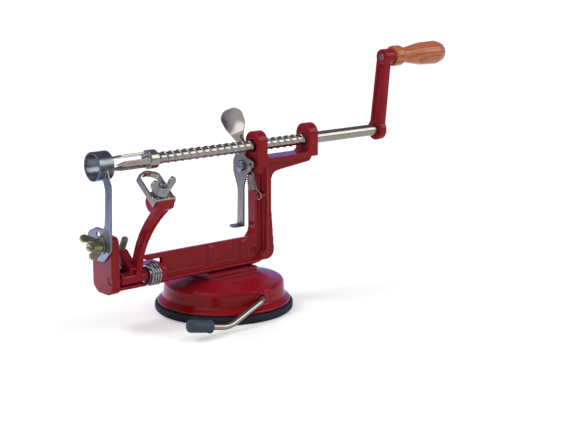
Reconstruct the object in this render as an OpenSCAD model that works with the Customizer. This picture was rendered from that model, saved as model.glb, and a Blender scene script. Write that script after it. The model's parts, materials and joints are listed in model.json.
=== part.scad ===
// Hand cranked apple peeler on a suction foot, built piece by piece.
// Millimetres. +X runs along the feed shaft towards the crank, +Y away from the peeling arm, +Z up.
// Origin: centre of the underside of the suction pad.

/* [Feed shaft] */
// diameter over the thread
shaft_d = 9.2; // [8:0.1:10]
// height of the shaft axis above the table
shaft_z = 120; // [114:1:128]
// advance for each turn, which is also the slice thickness
thread_pitch = 6.35; // [5.5:0.05:7.5]
// height of the thread ridge above the core
thread_depth = 0.5; // [0.4:0.05:0.8]
// front end of the shaft
shaft_front = -61; // [-66:0.5:-56]
// length of the threaded part
thread_len = 137; // [120:1:143]
// radial clearance of every turning fit
run_gap = 0.05; // [0.02:0.01:0.1]
// clearance between faces that are clamped together
seat_gap = 0.1; // [0.05:0.05:0.3]

/* [Fork] */
// hub diameter
fork_d = 14; // [12:0.5:16]
// hub length
fork_h = 8; // [7:0.5:10]
// length of the tines in front of the hub
tine_len = 29; // [22:1:34]
// distance of each tine from the axis
tine_r = 4.8; // [4:0.1:5.2]
// width of a tine
tine_w = 4; // [3:0.25:4.5]
// thickness of a tine
tine_t = 1.6; // [1.2:0.1:2]
// diameter of the rivet through the hub
rivet_d = 3; // [2.5:0.25:3.5]

/* [Crank] */
// face of the crank nearest the post
crank_x = 155; // [150:1:165]
// thickness of the arm
crank_t = 5.6; // [5:0.2:8]
// width of the arm beside the hub
crank_w = 12.6; // [11:0.2:15]
// radius of the hub
crank_hub_r = 8.4; // [8:0.1:10]
// throw of the crank, from shaft axis to handle axis
crank_throw = 59.4; // [50:0.2:75]
// lean of the crank at rest, degrees towards the peeling arm
crank_lean = 6.8; // [0:0.2:15]
// diameter of the upper boss
crank_boss_d = 12.4; // [11:0.2:15]
// length of the upper boss
crank_boss_h = 9.4; // [8:0.2:12]
// depth of the channel in the arm
channel_depth = 1.6; // [1:0.1:2.5]
// width of the rim beside the channel
channel_rim = 2.4; // [1.8:0.1:3]
// diameter of the set screw in the hub
set_d = 4; // [3:0.5:5]

/* [Handle] */
// length of the wooden handle
handle_len = 56; // [48:1:70]
// largest diameter
handle_d = 19.4; // [17:0.2:24]
// collar diameter
handle_collar_d = 16.4; // [14:0.2:18]
// neck diameter
handle_neck_d = 12.2; // [10.5:0.1:14]
// diameter of the screw the handle turns on
handle_pin_d = 5; // [4:0.5:6]

/* [Frame casting] */
// underside of the bed above the table
bed_z = 31; // [29:0.5:34]
// height of the bed
bed_h = 21; // [18:0.5:24]
// front end of the bed
bed_front = -72; // [-74:0.5:-70]
// thickness of the web
web_t = 10; // [8:0.5:12]
// width of the flange
flange_w = 21.6; // [20:0.2:26]
// thickness of the flange beside the web
flange_t = 5; // [4.5:0.25:6]
// thickness of the flange at its edge
flange_edge = 1.8; // [1.4:0.1:2.2]
// thickness of the bed panel
panel_t = 3.8; // [3.4:0.1:4.6]
// front face of the post
post_x = 28.3; // [28:0.1:30]
// thickness of each bearing ear along the shaft
ear_t = 9; // [7:0.5:11]
// width of a bearing ear
ear_w = 16.4; // [15:0.2:20]
// clear distance between the ears
ear_space = 41; // [34:1:46]
// top of the front ear above the shaft axis
ear_rise = 11; // [10:0.5:14]
// depth of the yoke floor below the shaft axis
yoke_drop = 9.5; // [8.5:0.25:11]
// thickness of the yoke floor
yoke_t = 3.2; // [2.6:0.1:4]
// inner corners of the yoke
yoke_round = 4; // [2:0.25:5]
// front face of the slicer bracket
bracket_x = -104.5; // [-108:0.5:-103]
// thickness of the bracket
bracket_t = 6.8; // [6:0.2:8]
// height of the slicer bolt above the table
bolt_z = 64; // [62:0.5:66]
// slicer bolt diameter
bolt_d = 6; // [5:0.5:6.5]

/* [Peeling arm] */
// distance of the arm pivot from the shaft plane
pivot_y = -8.4; // [-9:0.1:-8]
// height of the arm pivot above the table
pivot_z = 39; // [38.5:0.25:40]
// pivot pin diameter
pivot_d = 4.6; // [4:0.2:5.4]
// diameter of the pivot barrel
barrel_d = 8.4; // [8:0.2:9.2]
// front end of the barrel
barrel_x0 = -96.6; // [-96.8:0.1:-95]
// rear end of the barrel
barrel_x1 = -74.6; // [-76:0.1:-74]
// rear face of the arm
arm_x1 = -80.6; // [-82:0.2:-79]
// thickness of the arm
arm_t = 4.4; // [4:0.1:6]
// width of the arm at its root
arm_w0 = 7.6; // [7:0.2:9.6]
// width of the arm below its head
arm_w1 = 8; // [7:0.2:10]
// middle of the blade seat, distance from the shaft plane
seat_y = -49.6; // [-54:0.2:-46]
// middle of the blade seat, depth below the shaft axis
seat_drop = 15.6; // [13:0.2:19]
// tilt of the blade seat, degrees
seat_tilt = 20; // [12:1:28]
// stop screw diameter
stop_d = 5; // [4:0.5:5.5]
// stop screw length
stop_len = 20; // [17:0.5:24]

/* [Peeling blade] */
// width over the blade stirrup
stirrup_w = 17.6; // [15:0.2:18]
// length of the stirrup legs
stirrup_len = 27.4; // [24:0.2:29]
// thickness of the strip
strip_t = 1.4; // [1:0.1:2]
// width of the strip
strip_w = 4.6; // [3.5:0.1:5.5]
// lean of the legs from the blade seat, degrees
leg_lean = 18; // [14:1:24]
// blade screw diameter
blade_screw_d = 5; // [4:0.5:5]

/* [Slicer blade] */
// thickness of the plate
slicer_t = 1.4; // [1:0.1:2]
// bore of the coring ring
ring_bore = 18; // [17:0.25:20]
// wall of the coring ring
ring_wall = 1.4; // [1:0.1:2]
// length of the coring ring
ring_len = 12; // [8:0.5:16]
// width of the rising strip
riser_w = 7; // [6:0.25:8]

/* [Wing nuts] */
// span over the wings
wing_span = 22; // [19:0.5:26]
// height of the hub
wing_hub_h = 6.5; // [5.5:0.25:8]
// diameter of the hub at its seat
wing_hub_d = 10.4; // [9.6:0.2:12]
// thickness of a wing
wing_t = 2.2; // [1.6:0.1:3]

/* [Release lever] */
// middle of the lever plate along the shaft
lever_x = 26.6; // [26.4:0.1:26.8]
// thickness of the lever plate
lever_t = 1.6; // [1.2:0.1:1.8]
// distance of the lever pivot from the shaft plane
lever_y = 8.6; // [8.2:0.1:10]
// depth of the lever pivot below the shaft axis
lever_drop = 16; // [15:0.5:17]
// lever pivot diameter
lever_pin_d = 5; // [4:0.5:6]
// length of the thumb paddle
paddle_len = 24.5; // [22:0.5:30]
// width of the thumb paddle
paddle_w = 18; // [15:0.2:20]
// twist of the paddle out of the lever plane, degrees
paddle_twist = 52; // [30:1:60]
// length of the finger tab
tab_len = 9; // [6:0.5:12]

/* [Springs] */
// wire of the tension spring
pull_wire = 0.8; // [0.7:0.05:0.9]
// mean radius of the tension spring
pull_r = 3.4; // [3.2:0.05:3.6]
// turns of the tension spring, a whole number
pull_turns = 8; // [6:1:8]
// wire of the torsion spring
twist_wire = 1.7; // [1.4:0.1:1.8]
// turns of the torsion spring, a whole number and a half
twist_turns = 3.5; // [2.5:1:3.5]

/* [Suction foot] */
// how far the pad's centre sits behind the frame's own middle line
foot_x = 1.2; // [0:0.2:3]
// radius of the rubber pad
pad_r = 52; // [50.5:0.25:53]
// thickness of the pad at its rim
pad_h = 6; // [5:0.25:6.5]
// radius of the base skirt
skirt_r = 50; // [48:0.25:50.5]
// radius of the base wall
base_r = 45; // [43:0.25:46]
// wall thickness of the base
base_wall = 3; // [2.5:0.1:3.6]
// length of the raised block under the bed
block_len = 44; // [40:1:56]
// width of the raised block
block_w = 30; // [26:1:34]
// distance between the base screws
screw_space = 28; // [26:1:34]
// base screw diameter
base_screw_d = 5; // [4:0.5:6]

/* [Suction lever] */
// rod diameter
rod_d = 4.5; // [4:0.1:5]
// height of the axle above the table
axle_z = 16.5; // [16:0.1:17]
// distance of the lever arm in front of the axle middle
rod_front = 55.5; // [55:0.25:58]
// eccentricity of the cam
cam_e = 1.2; // [1:0.1:1.3]
// radius of the cam
cam_r = 4; // [3.9:0.05:4.1]
// grip diameter
grip_d = 9.5; // [8:0.25:11]
// grip length
grip_len = 20; // [16:0.5:26]

/* [Hidden] */
$fn = 64;
bed_top = bed_z + bed_h;
ear_x = post_x + 0.5;
rear_ear_x = ear_x + ear_t + ear_space;
yoke_z = shaft_z - yoke_drop;
ear_bore = shaft_d + 2 * run_gap;
shaft_r = shaft_d / 2;
core_r = shaft_r - thread_depth;
thread_x0 = shaft_front + 3.4;
nose_r = core_r - 0.7;
crank_y = -crank_throw * sin(crank_lean);
crank_top = shaft_z + crank_throw * cos(crank_lean);
handle_x = crank_x + crank_boss_h + 1.2;
seat_x = (arm_x1 + barrel_x0) / 2;
seat_z = shaft_z - seat_drop;
head_w = stirrup_w - 2 * strip_t - 0.2;
lever_z = shaft_z - lever_drop;
hook_y = -1.4;
hook_z = lever_z + 2.6;
peg_x = 28;
peg_y = -web_t / 2 - 4.2;
peg_z = lever_z - 20.8;
peg_d = 3.4;
spring_r = pivot_d / 2 + 5.2;
spring_x1 = -64.4;
slicer_x = bracket_x - seat_gap - slicer_t;
ledge_z = 43.4;
block_top = bed_z - seat_gap;
ceiling_z = 23.4;
wall_t = 4.4;
wall_side = 5;
wall_rise = 6.4;
wall_round = 4.4;
screw_reach = 13;
screw_head_h = 4;
hanger_y = 16.5;
hanger_t = 5;
axle_back = hanger_y + 3.5;
cam_len = 7;
stud_d = 24;
stud_t = 1.2;
stud_w = 8;
riser_side = 14.6;
riser_end = 12;

// Outlines with rounded corners

function unit(v) = v / norm(v);
function flat(p) = [p[0], p[1]];

// the arc that rounds corner b between its neighbours a and c; b[2] is the radius
function corner(a, b, c) =
    let (u = unit(flat(a) - flat(b)))
    let (v = unit(flat(c) - flat(b)))
    let (half = acos(u * v) / 2)
    let (m = flat(b) + unit(u + v) * (b[2] / sin(half)))
    let (s = flat(b) + u * (b[2] / tan(half)) - m)
    let (e = flat(b) + v * (b[2] / tan(half)) - m)
    let (from = atan2(s[1], s[0]))
    let (turn = atan2(s[0] * e[1] - s[1] * e[0], s * e))
    b[2] == 0 ? [flat(b)]
    : [for (i = [0:7]) m + b[2] * [cos(from + turn * i / 7), sin(from + turn * i / 7)]];

function rounded(p) =
    [for (i = [0:len(p) - 1]) each corner(p[(i + len(p) - 1) % len(p)], p[i], p[(i + 1) % len(p)])];

// a ribbon along a bend from a to c with b as its pull point, w0 wide at a and w1 wide at c
function bend_at(a, b, c, t) = (1 - t) * (1 - t) * a + 2 * t * (1 - t) * b + t * t * c;
function bend_side(a, b, c, t) =
    let (d = unit((1 - t) * (b - a) + t * (c - b)))
    [-d[1], d[0]];
function ribbon(a, b, c, w0, w1) =
    concat([for (i = [0:12]) bend_at(a, b, c, i / 12)
                + bend_side(a, b, c, i / 12) * (w0 + (w1 - w0) * i / 12) / 2],
           [for (i = [12:-1:0]) bend_at(a, b, c, i / 12)
                - bend_side(a, b, c, i / 12) * (w0 + (w1 - w0) * i / 12) / 2]);

// draws an outline in the XZ plane, t thick about y = 0
module in_xz(t) {
    rotate([90, 0, 0])
        linear_extrude(t, center = true)
            children();
}

// draws an outline in the YZ plane from x = x0, t thick towards +X
module in_yz(x0, t) {
    translate([x0, 0, 0])
        rotate([90, 0, 90])
            linear_extrude(t)
                children();
}

// a round bar along X
module bar_x(x0, x1, d, y = 0, z = 0) {
    translate([x0, y, z])
        rotate([0, 90, 0])
            cylinder(h = x1 - x0, d = d);
}

// a round bar along Y
module bar_y(y0, y1, d, x = 0, z = 0) {
    translate([x, y1, z])
        rotate([90, 0, 0])
            cylinder(h = y1 - y0, d = d);
}

// Wire forms

// six points round a path point, in the plane square to the path
function wire_ring(path, i, r) =
    let (n = len(path) - 1)
    let (t = unit(path[min(i + 1, n)] - path[max(i - 1, 0)]))
    let (a = abs(t[0]) < 0.75 ? unit(cross(t, [1, 0, 0])) : unit(cross(t, [0, 1, 0])))
    let (b = cross(t, a))
    [for (k = [0:5]) path[i] + r * (a * cos(60 * k) + b * sin(60 * k))];

// the turn of one ring that lines it up best with the ring before it
function ring_shift(p, q) =
    let (d = [for (s = [0:5]) norm(p[0] - q[s]) + norm(p[2] - q[(s + 2) % 6]) + norm(p[4] - q[(s + 4) % 6])])
    search(min(d), d)[0];
function turned(q, s) = [for (k = [0:5]) q[(k + s) % 6]];
function rings(path, r, i = 0, done = []) =
    i == len(path) ? done
    : let (q = wire_ring(path, i, r))
      let (p = i == 0 ? q : turned(q, ring_shift(done[i - 1], q)))
      rings(path, r, i + 1, concat(done, [p]));

module wire(path, d) {
    n = len(path);
    points = [for (ring = rings(path, d / 2)) each ring];
    side_a = [for (i = [0:n - 2]) for (k = [0:5]) [6 * i + k, 6 * i + (k + 1) % 6, 6 * i + 6 + k]];
    side_b = [for (i = [0:n - 2]) for (k = [0:5])
        [6 * i + (k + 1) % 6, 6 * i + 6 + (k + 1) % 6, 6 * i + 6 + k]];
    cap_a = [for (k = [1:4]) [0, k + 1, k]];
    cap_b = [for (k = [1:4]) [6 * n - 6, 6 * n - 6 + k, 6 * n - 6 + k + 1]];
    polyhedron(points, concat(side_a, side_b, cap_a, cap_b));
}

// least clear distance between turns of a wire, judged on points at least skip apart along it
function least_gap(path, d, skip) =
    min([for (i = [0:len(path) - 1 - skip]) for (j = [i + skip:len(path) - 1]) norm(path[i] - path[j])]) - d;

// Frame

// the bed is a thin panel with its near face on the near face of the post
module web() {
    near = -web_t / 2;
    translate([0, near + panel_t / 2, 0])
        in_xz(panel_t)
            polygon(rounded([[bed_front, bed_top, 2], [post_x + 8, bed_top, 0], [post_x + 8, bed_z + 2, 0],
                             [-58, bed_z + 2, 0], [-58, bed_top - 3.5, 2], [bed_front, bed_top - 3.5, 1]]));
    in_xz(web_t)
        polygon(rounded([[post_x - 7, bed_z + 2, 0], [post_x - 7, bed_top - 6, 0], [post_x, bed_top + 3, 8],
                         [post_x, yoke_z - 5, 0], [post_x + 8, yoke_z - 5, 0], [post_x + 8, bed_z + 2, 0]]));
}

// one layer of the edge flange that runs under the bed and up the back of the post
module flange_layer(wide, low, high) {
    back = post_x + 9.2;
    in_xz(wide)
        polygon(rounded([[-60, bed_z + low, 0], [back - low, bed_z + low, 12 - low],
                         [back - low, yoke_z - 6, 0], [back - high, yoke_z - 6, 0],
                         [back - high, bed_z + high, 12 - high], [-60, bed_z + high, 0]]));
}

module flange() {
    flange_layer(flange_w, 1.6, 1.6 + flange_edge);
    flange_layer(flange_w - 3, 0.8, 2.2 + flange_edge);
    flange_layer(flange_w - 6.4, 0, flange_t);
}

module rib() {
    back = post_x + 16.7;
    in_xz(7)
        polygon(rounded([[post_x + 7.7, bed_z + 0.3, 0], [back + 3, bed_z + 0.3, 7], [back, bed_z + 39, 30],
                         [back, yoke_z - 12, 7], [rear_ear_x + 5, yoke_z - 7.5, 3.5],
                         [rear_ear_x + 8, yoke_z - 1.5, 0], [post_x + 7.7, yoke_z - 1.5, 0]]));
}

module ear(x0, rise, foot_z) {
    in_yz(x0, ear_t)
        union() {
            translate([0, shaft_z + rise - ear_w / 2])
                circle(d = ear_w);
            translate([-ear_w / 2, foot_z])
                square([ear_w, shaft_z + rise - ear_w / 2 - foot_z]);
        }
}

module bracket() {
    in_yz(bracket_x, bracket_t)
        polygon(rounded([[-11, bed_z, 3], [-5, bed_z - 2.8, 5], [8, bed_z - 2.8, 6], [14, bed_z + 2, 4],
                         [14, bolt_z - 2, 8], [-2, bolt_z + 6.4, 6], [-11, bolt_z + 6.4, 4.5]]));
}

// the shelf behind the barrel that ties the bracket to the bed and stops the screw
module shelf() {
    front = bracket_x + bracket_t - 1;
    difference() {
        union() {
            translate([front, 2.5, bed_z + 0.4])
                cube([-54 - front, 11.2, ledge_z - bed_z - 0.4]);
            translate([front, -10.5, bed_z + 0.4])
                cube([-57 - front, 24.2, 2.4]);
        }
        translate([barrel_x1 - 0.4, -12, bed_z - 3])
            cube([spring_x1 + 0.8 - barrel_x1, 13.8, 12]);
    }
}

// wall at the front end of the bed that carries the rear end of the pivot pin
module end_wall() {
    in_yz(spring_x1 + 0.6, wall_t)
        polygon(rounded([[pivot_y - wall_side, bed_z + 1, 2], [3, bed_z + 1, 0], [3, pivot_z + wall_rise, 0],
                         [pivot_y - wall_side, pivot_z + wall_rise, wall_round]]));
}

// floor between the two ears, with rounded inner corners
module yoke() {
    rise = yoke_z + yoke_round + 1;
    in_xz(ear_w)
        polygon(rounded([[ear_x + 4.2, yoke_z - yoke_t, 0], [rear_ear_x + ear_t, yoke_z - yoke_t, 0],
                         [rear_ear_x + ear_t, rise, 0], [rear_ear_x, rise, 0], [rear_ear_x, yoke_z, yoke_round],
                         [ear_x + ear_t, yoke_z, yoke_round], [ear_x + ear_t, rise, 0], [ear_x + 4.2, rise, 0]]));
}

module frame_casting() {
    color([0.62, 0.04, 0.06])
        difference() {
            union() {
                web();
                flange();
                rib();
                bracket();
                shelf();
                yoke();
                ear(ear_x, ear_rise, yoke_z - 11);
                ear(rear_ear_x, ear_rise + 1.5, yoke_z - 1);
                end_wall();
                bar_x(peg_x - 3, 34, peg_d, peg_y, peg_z);
                bar_x(lever_x + lever_t / 2 + 0.3, 34, 10, lever_y, lever_z);
                for (x = [-14.6, 16])
                    translate([x - 2.5, -web_t / 2 - 0.8, bed_z + flange_t - 1])
                        cube([5, 2, bed_h - flange_t - 1]);
                for (s = [-1, 1])
                    translate([foot_x + s * screw_space / 2, 0, bed_z])
                        cylinder(h = screw_reach + 3, d = 12);
            }
            bar_x(ear_x - 1, rear_ear_x + ear_t + 1, ear_bore, 0, shaft_z);
            bar_x(bracket_x - 1, bracket_x + bracket_t + 1, bolt_d + 2 * run_gap, 0, bolt_z);
            bar_x(bracket_x - 1, spring_x1 + 8, pivot_d + 2 * run_gap, pivot_y, pivot_z);
            bar_x(20, post_x + 6, lever_pin_d + 2 * run_gap, lever_y, lever_z);
            for (s = [-1, 1])
                translate([foot_x + s * screw_space / 2, 0, bed_z - 1])
                    cylinder(h = screw_reach + 1.4, d = base_screw_d + 2 * run_gap);
            bar_y(-web_t / 2 - 1, -web_t / 2 + 1, 5, post_x - 2, bed_z + 9.5);
        }
}

// Suction foot

module base_shell() {
    inner = base_r - base_wall;
    rotate_extrude($fn = 96)
        polygon(rounded([[skirt_r, pad_h + 0.3, 0], [skirt_r, pad_h + 2, 0.8], [base_r + 0.6, pad_h + 5, 2],
                         [base_r, ceiling_z - 1.2, 3], [27.6, ceiling_z + 3, 4], [0, ceiling_z + 3, 0],
                         [0, ceiling_z, 0], [24, ceiling_z, 3], [inner - 0.2, ceiling_z - 3.6, 3],
                         [inner, pad_h + 4, 2], [skirt_r - 3.6, pad_h + 0.3, 0]]));
}

module base_casting() {
    color([0.62, 0.04, 0.06])
        difference() {
            union() {
                base_shell();
                translate([0, 0, ceiling_z + 1])
                    linear_extrude(block_top - ceiling_z - 1)
                        polygon(rounded([[-block_len / 2, -block_w / 2, 3], [block_len / 2, -block_w / 2, 3],
                                         [block_len / 2, block_w / 2, 3], [-block_len / 2, block_w / 2, 3]]));
                for (y = [-hanger_y, hanger_y - hanger_t])
                    translate([-6, y, axle_z - rod_d / 2 - 2.6])
                        cube([12, hanger_t, ceiling_z + 1 - axle_z + rod_d / 2 + 2.6]);
                bar_y(-base_r - 0.8, -base_r + base_wall + 3, rod_d + 5, 0, axle_z);
            }
            bar_y(-base_r - 3, axle_back + 2, rod_d + 2 * run_gap, 0, axle_z);
            translate([-9.6, -5.4, ceiling_z - 4])
                cube([19.2, 10.8, 6.2]);
            for (s = [-1, 1])
                translate([s * screw_space / 2, 0, ceiling_z - 2])
                    cylinder(h = 14, d = base_screw_d + 0.4);
        }
}

module base_screws() {
    color([0.72, 0.73, 0.75])
        for (s = [-1, 1])
            translate([s * screw_space / 2, 0, 0])
                difference() {
                    union() {
                        translate([0, 0, ceiling_z - seat_gap - screw_head_h])
                            cylinder(h = screw_head_h, d = base_screw_d * 1.8);
                        translate([0, 0, ceiling_z - 1])
                            cylinder(h = bed_z + screw_reach - ceiling_z, d = base_screw_d);
                    }
                    translate([0, 0, ceiling_z - screw_head_h - 1])
                        cylinder(h = 3, d = base_screw_d * 0.85, $fn = 6);
                }
}

module suction_pad() {
    color([0.09, 0.1, 0.13])
        rotate_extrude($fn = 96)
            polygon(rounded([[pad_r - 1.2, 0, 0], [pad_r, 1.4, 1], [pad_r - 0.4, pad_h, 1.2],
                             [0, pad_h, 0], [0, 0, 0]]));
}

module pull_stud() {
    gap = 0.45;
    low = axle_z - cam_e - cam_r - gap;
    wide = 2 * (cam_r + cam_e + 0.4);
    color([0.72, 0.73, 0.75])
        difference() {
            union() {
                translate([0, 0, pad_h + 0.15])
                    cylinder(h = stud_t, d = stud_d);
                translate([-wide / 2 - 2.4, -stud_w / 2, pad_h + 0.15])
                    cube([wide + 4.8, stud_w, low + 2 * cam_r + 2 * gap + 2.2 - pad_h - 0.15]);
            }
            translate([-wide / 2, -stud_w / 2 - 1, low])
                cube([wide, stud_w + 2, 2 * cam_r + 2 * gap]);
        }
}

// Suction lever

rod_elbow = [0, -base_r - 4, axle_z];
rod_bend = [-37.8, -rod_front, axle_z - 12.6];
rod_end = [-71.6, -rod_front, axle_z - 5.4];

// turns local Z to the direction from a to b and starts at a
module along(a, b) {
    d = b - a;
    translate(a)
        rotate([0, acos(d[2] / norm(d)), atan2(d[1], d[0])])
            children();
}

module suction_lever() {
    color([0.78, 0.79, 0.8])
        union() {
            bar_y(rod_elbow[1], axle_back, rod_d, 0, axle_z);
            translate(rod_elbow)
                sphere(d = rod_d + 0.1);
            along(rod_elbow, rod_bend)
                cylinder(h = norm(rod_bend - rod_elbow), d = rod_d);
            translate(rod_bend)
                sphere(d = rod_d + 0.1);
            along(rod_bend, rod_end)
                cylinder(h = norm(rod_end - rod_bend), d = rod_d);
        }
}

module lever_cam() {
    color([0.72, 0.73, 0.75])
        difference() {
            bar_y(-cam_len / 2, cam_len / 2, 2 * cam_r, 0, axle_z - cam_e);
            bar_y(-cam_len / 2 - 0.5, cam_len / 2 + 0.5, rod_d + 2 * run_gap, 0, axle_z);
        }
}

module lever_grip() {
    over = 1.6;
    color([0.1, 0.12, 0.16])
        along(rod_end, 2 * rod_end - rod_bend)
            translate([0, 0, over])
                rotate_extrude()
                    difference() {
                        polygon(rounded([[0, 0, 0], [grip_d / 2, 0, 2.6], [grip_d / 2, -grip_len, 1],
                                         [0, -grip_len, 0]]));
                        translate([-1, -grip_len - 1])
                            square([rod_d / 2 + 1 + run_gap, grip_len + 1 - over + 0.1]);
                    }
}

module axle_clip() {
    color([0.72, 0.73, 0.75])
        difference() {
            bar_y(hanger_y + 0.3, hanger_y + 1.7, rod_d * 2, 0, axle_z);
            bar_y(hanger_y - 0.5, hanger_y + 2.5, rod_d + 2 * run_gap, 0, axle_z);
        }
}

// Feed shaft and fork

module thread_section() {
    low = core_r;
    high = shaft_r - 0.05;
    sides = [[-38, low], [-22, high], [0, high], [22, high], [38, low], [84, low], [132, low], [180, low],
             [228, low], [276, low]];
    polygon([for (s = sides) s[1] * [cos(s[0]), sin(s[0])]]);
}

module feed_shaft() {
    turns = thread_len / thread_pitch;
    phase = 180 + 360 * (thread_x0 - lever_x) / thread_pitch;
    plain_x = thread_x0 + thread_len - 0.5;
    end_x = crank_x + crank_t + 2.4;
    color([0.8, 0.8, 0.81])
        difference() {
            union() {
                translate([thread_x0, 0, shaft_z])
                    rotate([90, 0, 90])
                        rotate([0, 0, phase])
                            linear_extrude(thread_len, twist = -360 * turns, slices = ceil(turns * 9), $fn = 10)
                                thread_section();
                bar_x(shaft_front, thread_x0 + 3, 2 * nose_r, 0, shaft_z);
                bar_x(plain_x, end_x, shaft_d, 0, shaft_z);
            }
            bar_x(shaft_front - 1, shaft_front + 8, rivet_d + 2 * run_gap, 0, shaft_z);
        }
}

module fork() {
    front = shaft_front - fork_h + 3;
    color([0.8, 0.8, 0.81])
        translate([0, 0, shaft_z])
            difference() {
                union() {
                    bar_x(front, front + fork_h - 1.5, fork_d);
                    bar_x(front + 1, front + fork_h, fork_d - 2.6);
                    for (a = [90, 210, 330])
                        rotate([a, 0, 0])
                            translate([0, 0, tine_r - tine_t / 2])
                                linear_extrude(tine_t)
                                    polygon([[front + 1, -tine_w / 2], [front - tine_len + 8, -tine_w / 2],
                                             [front - tine_len, 0], [front - tine_len + 8, tine_w / 2],
                                             [front + 1, tine_w / 2]]);
                }
                bar_x(shaft_front - 0.1, front + fork_h + 1, 2 * nose_r + 2 * run_gap);
                bar_x(front - 1, front + fork_h, rivet_d + 2 * run_gap);
            }
}

module fork_rivet() {
    front = shaft_front - fork_h + 3;
    color([0.72, 0.73, 0.75])
        translate([0, 0, shaft_z])
            union() {
                bar_x(front - 1.2, shaft_front + 6, rivet_d);
                bar_x(front - 1.6, front - 0.12, rivet_d * 1.8);
            }
}

// Crank and handle

module crank_outline(grow) {
    top = [0, crank_throw];
    half = crank_w / 2 + grow;
    tip = crank_boss_d / 2 - 0.6 + grow;
    union() {
        circle(r = crank_hub_r + grow);
        translate(top)
            circle(r = crank_boss_d / 2 + grow);
        polygon([[-half, 0], [half, 0], [tip, crank_throw], [-tip, crank_throw]]);
    }
}

module crank_arm() {
    color([0.62, 0.04, 0.06])
        translate([0, 0, shaft_z])
            rotate([crank_lean, 0, 0])
                difference() {
                    union() {
                        in_yz(crank_x, crank_t)
                            crank_outline(0);
                        bar_x(crank_x, crank_x + crank_boss_h, crank_boss_d, 0, crank_throw);
                    }
                    in_yz(crank_x - 1, channel_depth + 1)
                        difference() {
                            polygon([[-crank_w / 2 + channel_rim, crank_hub_r - 1],
                                     [crank_w / 2 - channel_rim, crank_hub_r - 1],
                                     [crank_boss_d / 2 - 0.6 - channel_rim, crank_throw - 4],
                                     [-crank_boss_d / 2 + 0.6 + channel_rim, crank_throw - 4]]);
                            translate([0, crank_throw])
                                circle(d = crank_boss_d - 0.6);
                            circle(r = crank_hub_r - 0.6);
                        }
                    bar_x(crank_x - 1, crank_x + crank_t + 1, shaft_d + 2 * run_gap);
                    bar_x(crank_x - 1, crank_x + crank_boss_h + 1, handle_pin_d + 2 * run_gap, 0, crank_throw);
                    translate([crank_x + crank_t / 2, 0, -crank_hub_r - 1])
                        cylinder(h = crank_hub_r, d = set_d + 2 * run_gap);
                }
}

module crank_set_screw() {
    color([0.5, 0.52, 0.55])
        translate([crank_x + crank_t / 2, 0, shaft_z])
            rotate([crank_lean, 0, 0])
                difference() {
                    translate([0, 0, -crank_hub_r + 0.3])
                        cylinder(h = crank_hub_r - 0.3 - shaft_r - seat_gap, d = set_d);
                    translate([0, 0, -crank_hub_r - 1])
                        cylinder(h = 3, d = set_d * 0.5, $fn = 6);
                }
}

module handle_screw() {
    end_x = handle_x + handle_len;
    color([0.62, 0.65, 0.7])
        translate([0, crank_y, crank_top])
            difference() {
                union() {
                    bar_x(crank_x - 0.3, end_x - 2, handle_pin_d);
                    bar_x(end_x - 4.6, end_x - 1.6, handle_pin_d + 3.6);
                }
                translate([end_x - 2.8, -5, -0.5])
                    cube([4, 10, 1]);
            }
}

module handle_washer() {
    color([0.72, 0.73, 0.75])
        translate([0, crank_y, crank_top])
            difference() {
                bar_x(handle_x - 1, handle_x - 0.2, handle_pin_d * 2.2);
                bar_x(handle_x - 2, handle_x + 1, handle_pin_d + 2 * run_gap);
            }
}

module handle() {
    neck = handle_neck_d / 2;
    big = handle_d / 2;
    collar = handle_collar_d / 2;
    hole = handle_pin_d / 2 + run_gap;
    color([0.62, 0.3, 0.08])
        translate([handle_x, crank_y, crank_top])
            rotate([90, 0, 90])
                rotate_extrude()
                    difference() {
                        polygon(rounded([[0, 0, 0], [collar, 0, 1.6], [collar, 8.4, 2.4], [neck, 10, 1.6],
                                         [neck + 0.2, 15, 14], [big - 0.6, handle_len * 0.56, 22],
                                         [big - 0.1, handle_len * 0.86, 9], [big * 0.72, handle_len, 4],
                                         [0, handle_len, 0]]));
                        translate([-1, -1])
                            square([hole + 1, handle_len + 2]);
                        translate([-1, handle_len - 4.6 - seat_gap])
                            square([handle_pin_d / 2 + 2.2 + 1, 10]);
                    }
}

// Peeling arm

arm_root = [pivot_y, pivot_z];
arm_neck = [seat_y + 4.2, seat_z - 8];
arm_pull = [pivot_y - 3.6, pivot_z + 0.56 * (arm_neck[1] - pivot_z)];
lug_x = arm_x1 - arm_t - 4.6;
lug_t = 7.4;
stop_x = lug_x + lug_t / 2 - 0.2;
stop_lean = 29;
stop_y = 6;
stop_z = 54;

// places its children on the blade seat: local Z is square to the seat
module on_seat() {
    translate([seat_x, seat_y, seat_z])
        rotate([seat_tilt, 0, 0])
            children();
}

// places its children along the stop screw, local Z towards its head
module on_stop() {
    translate([stop_x, stop_y, stop_z])
        rotate([stop_lean, 0, 0])
            children();
}

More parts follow.
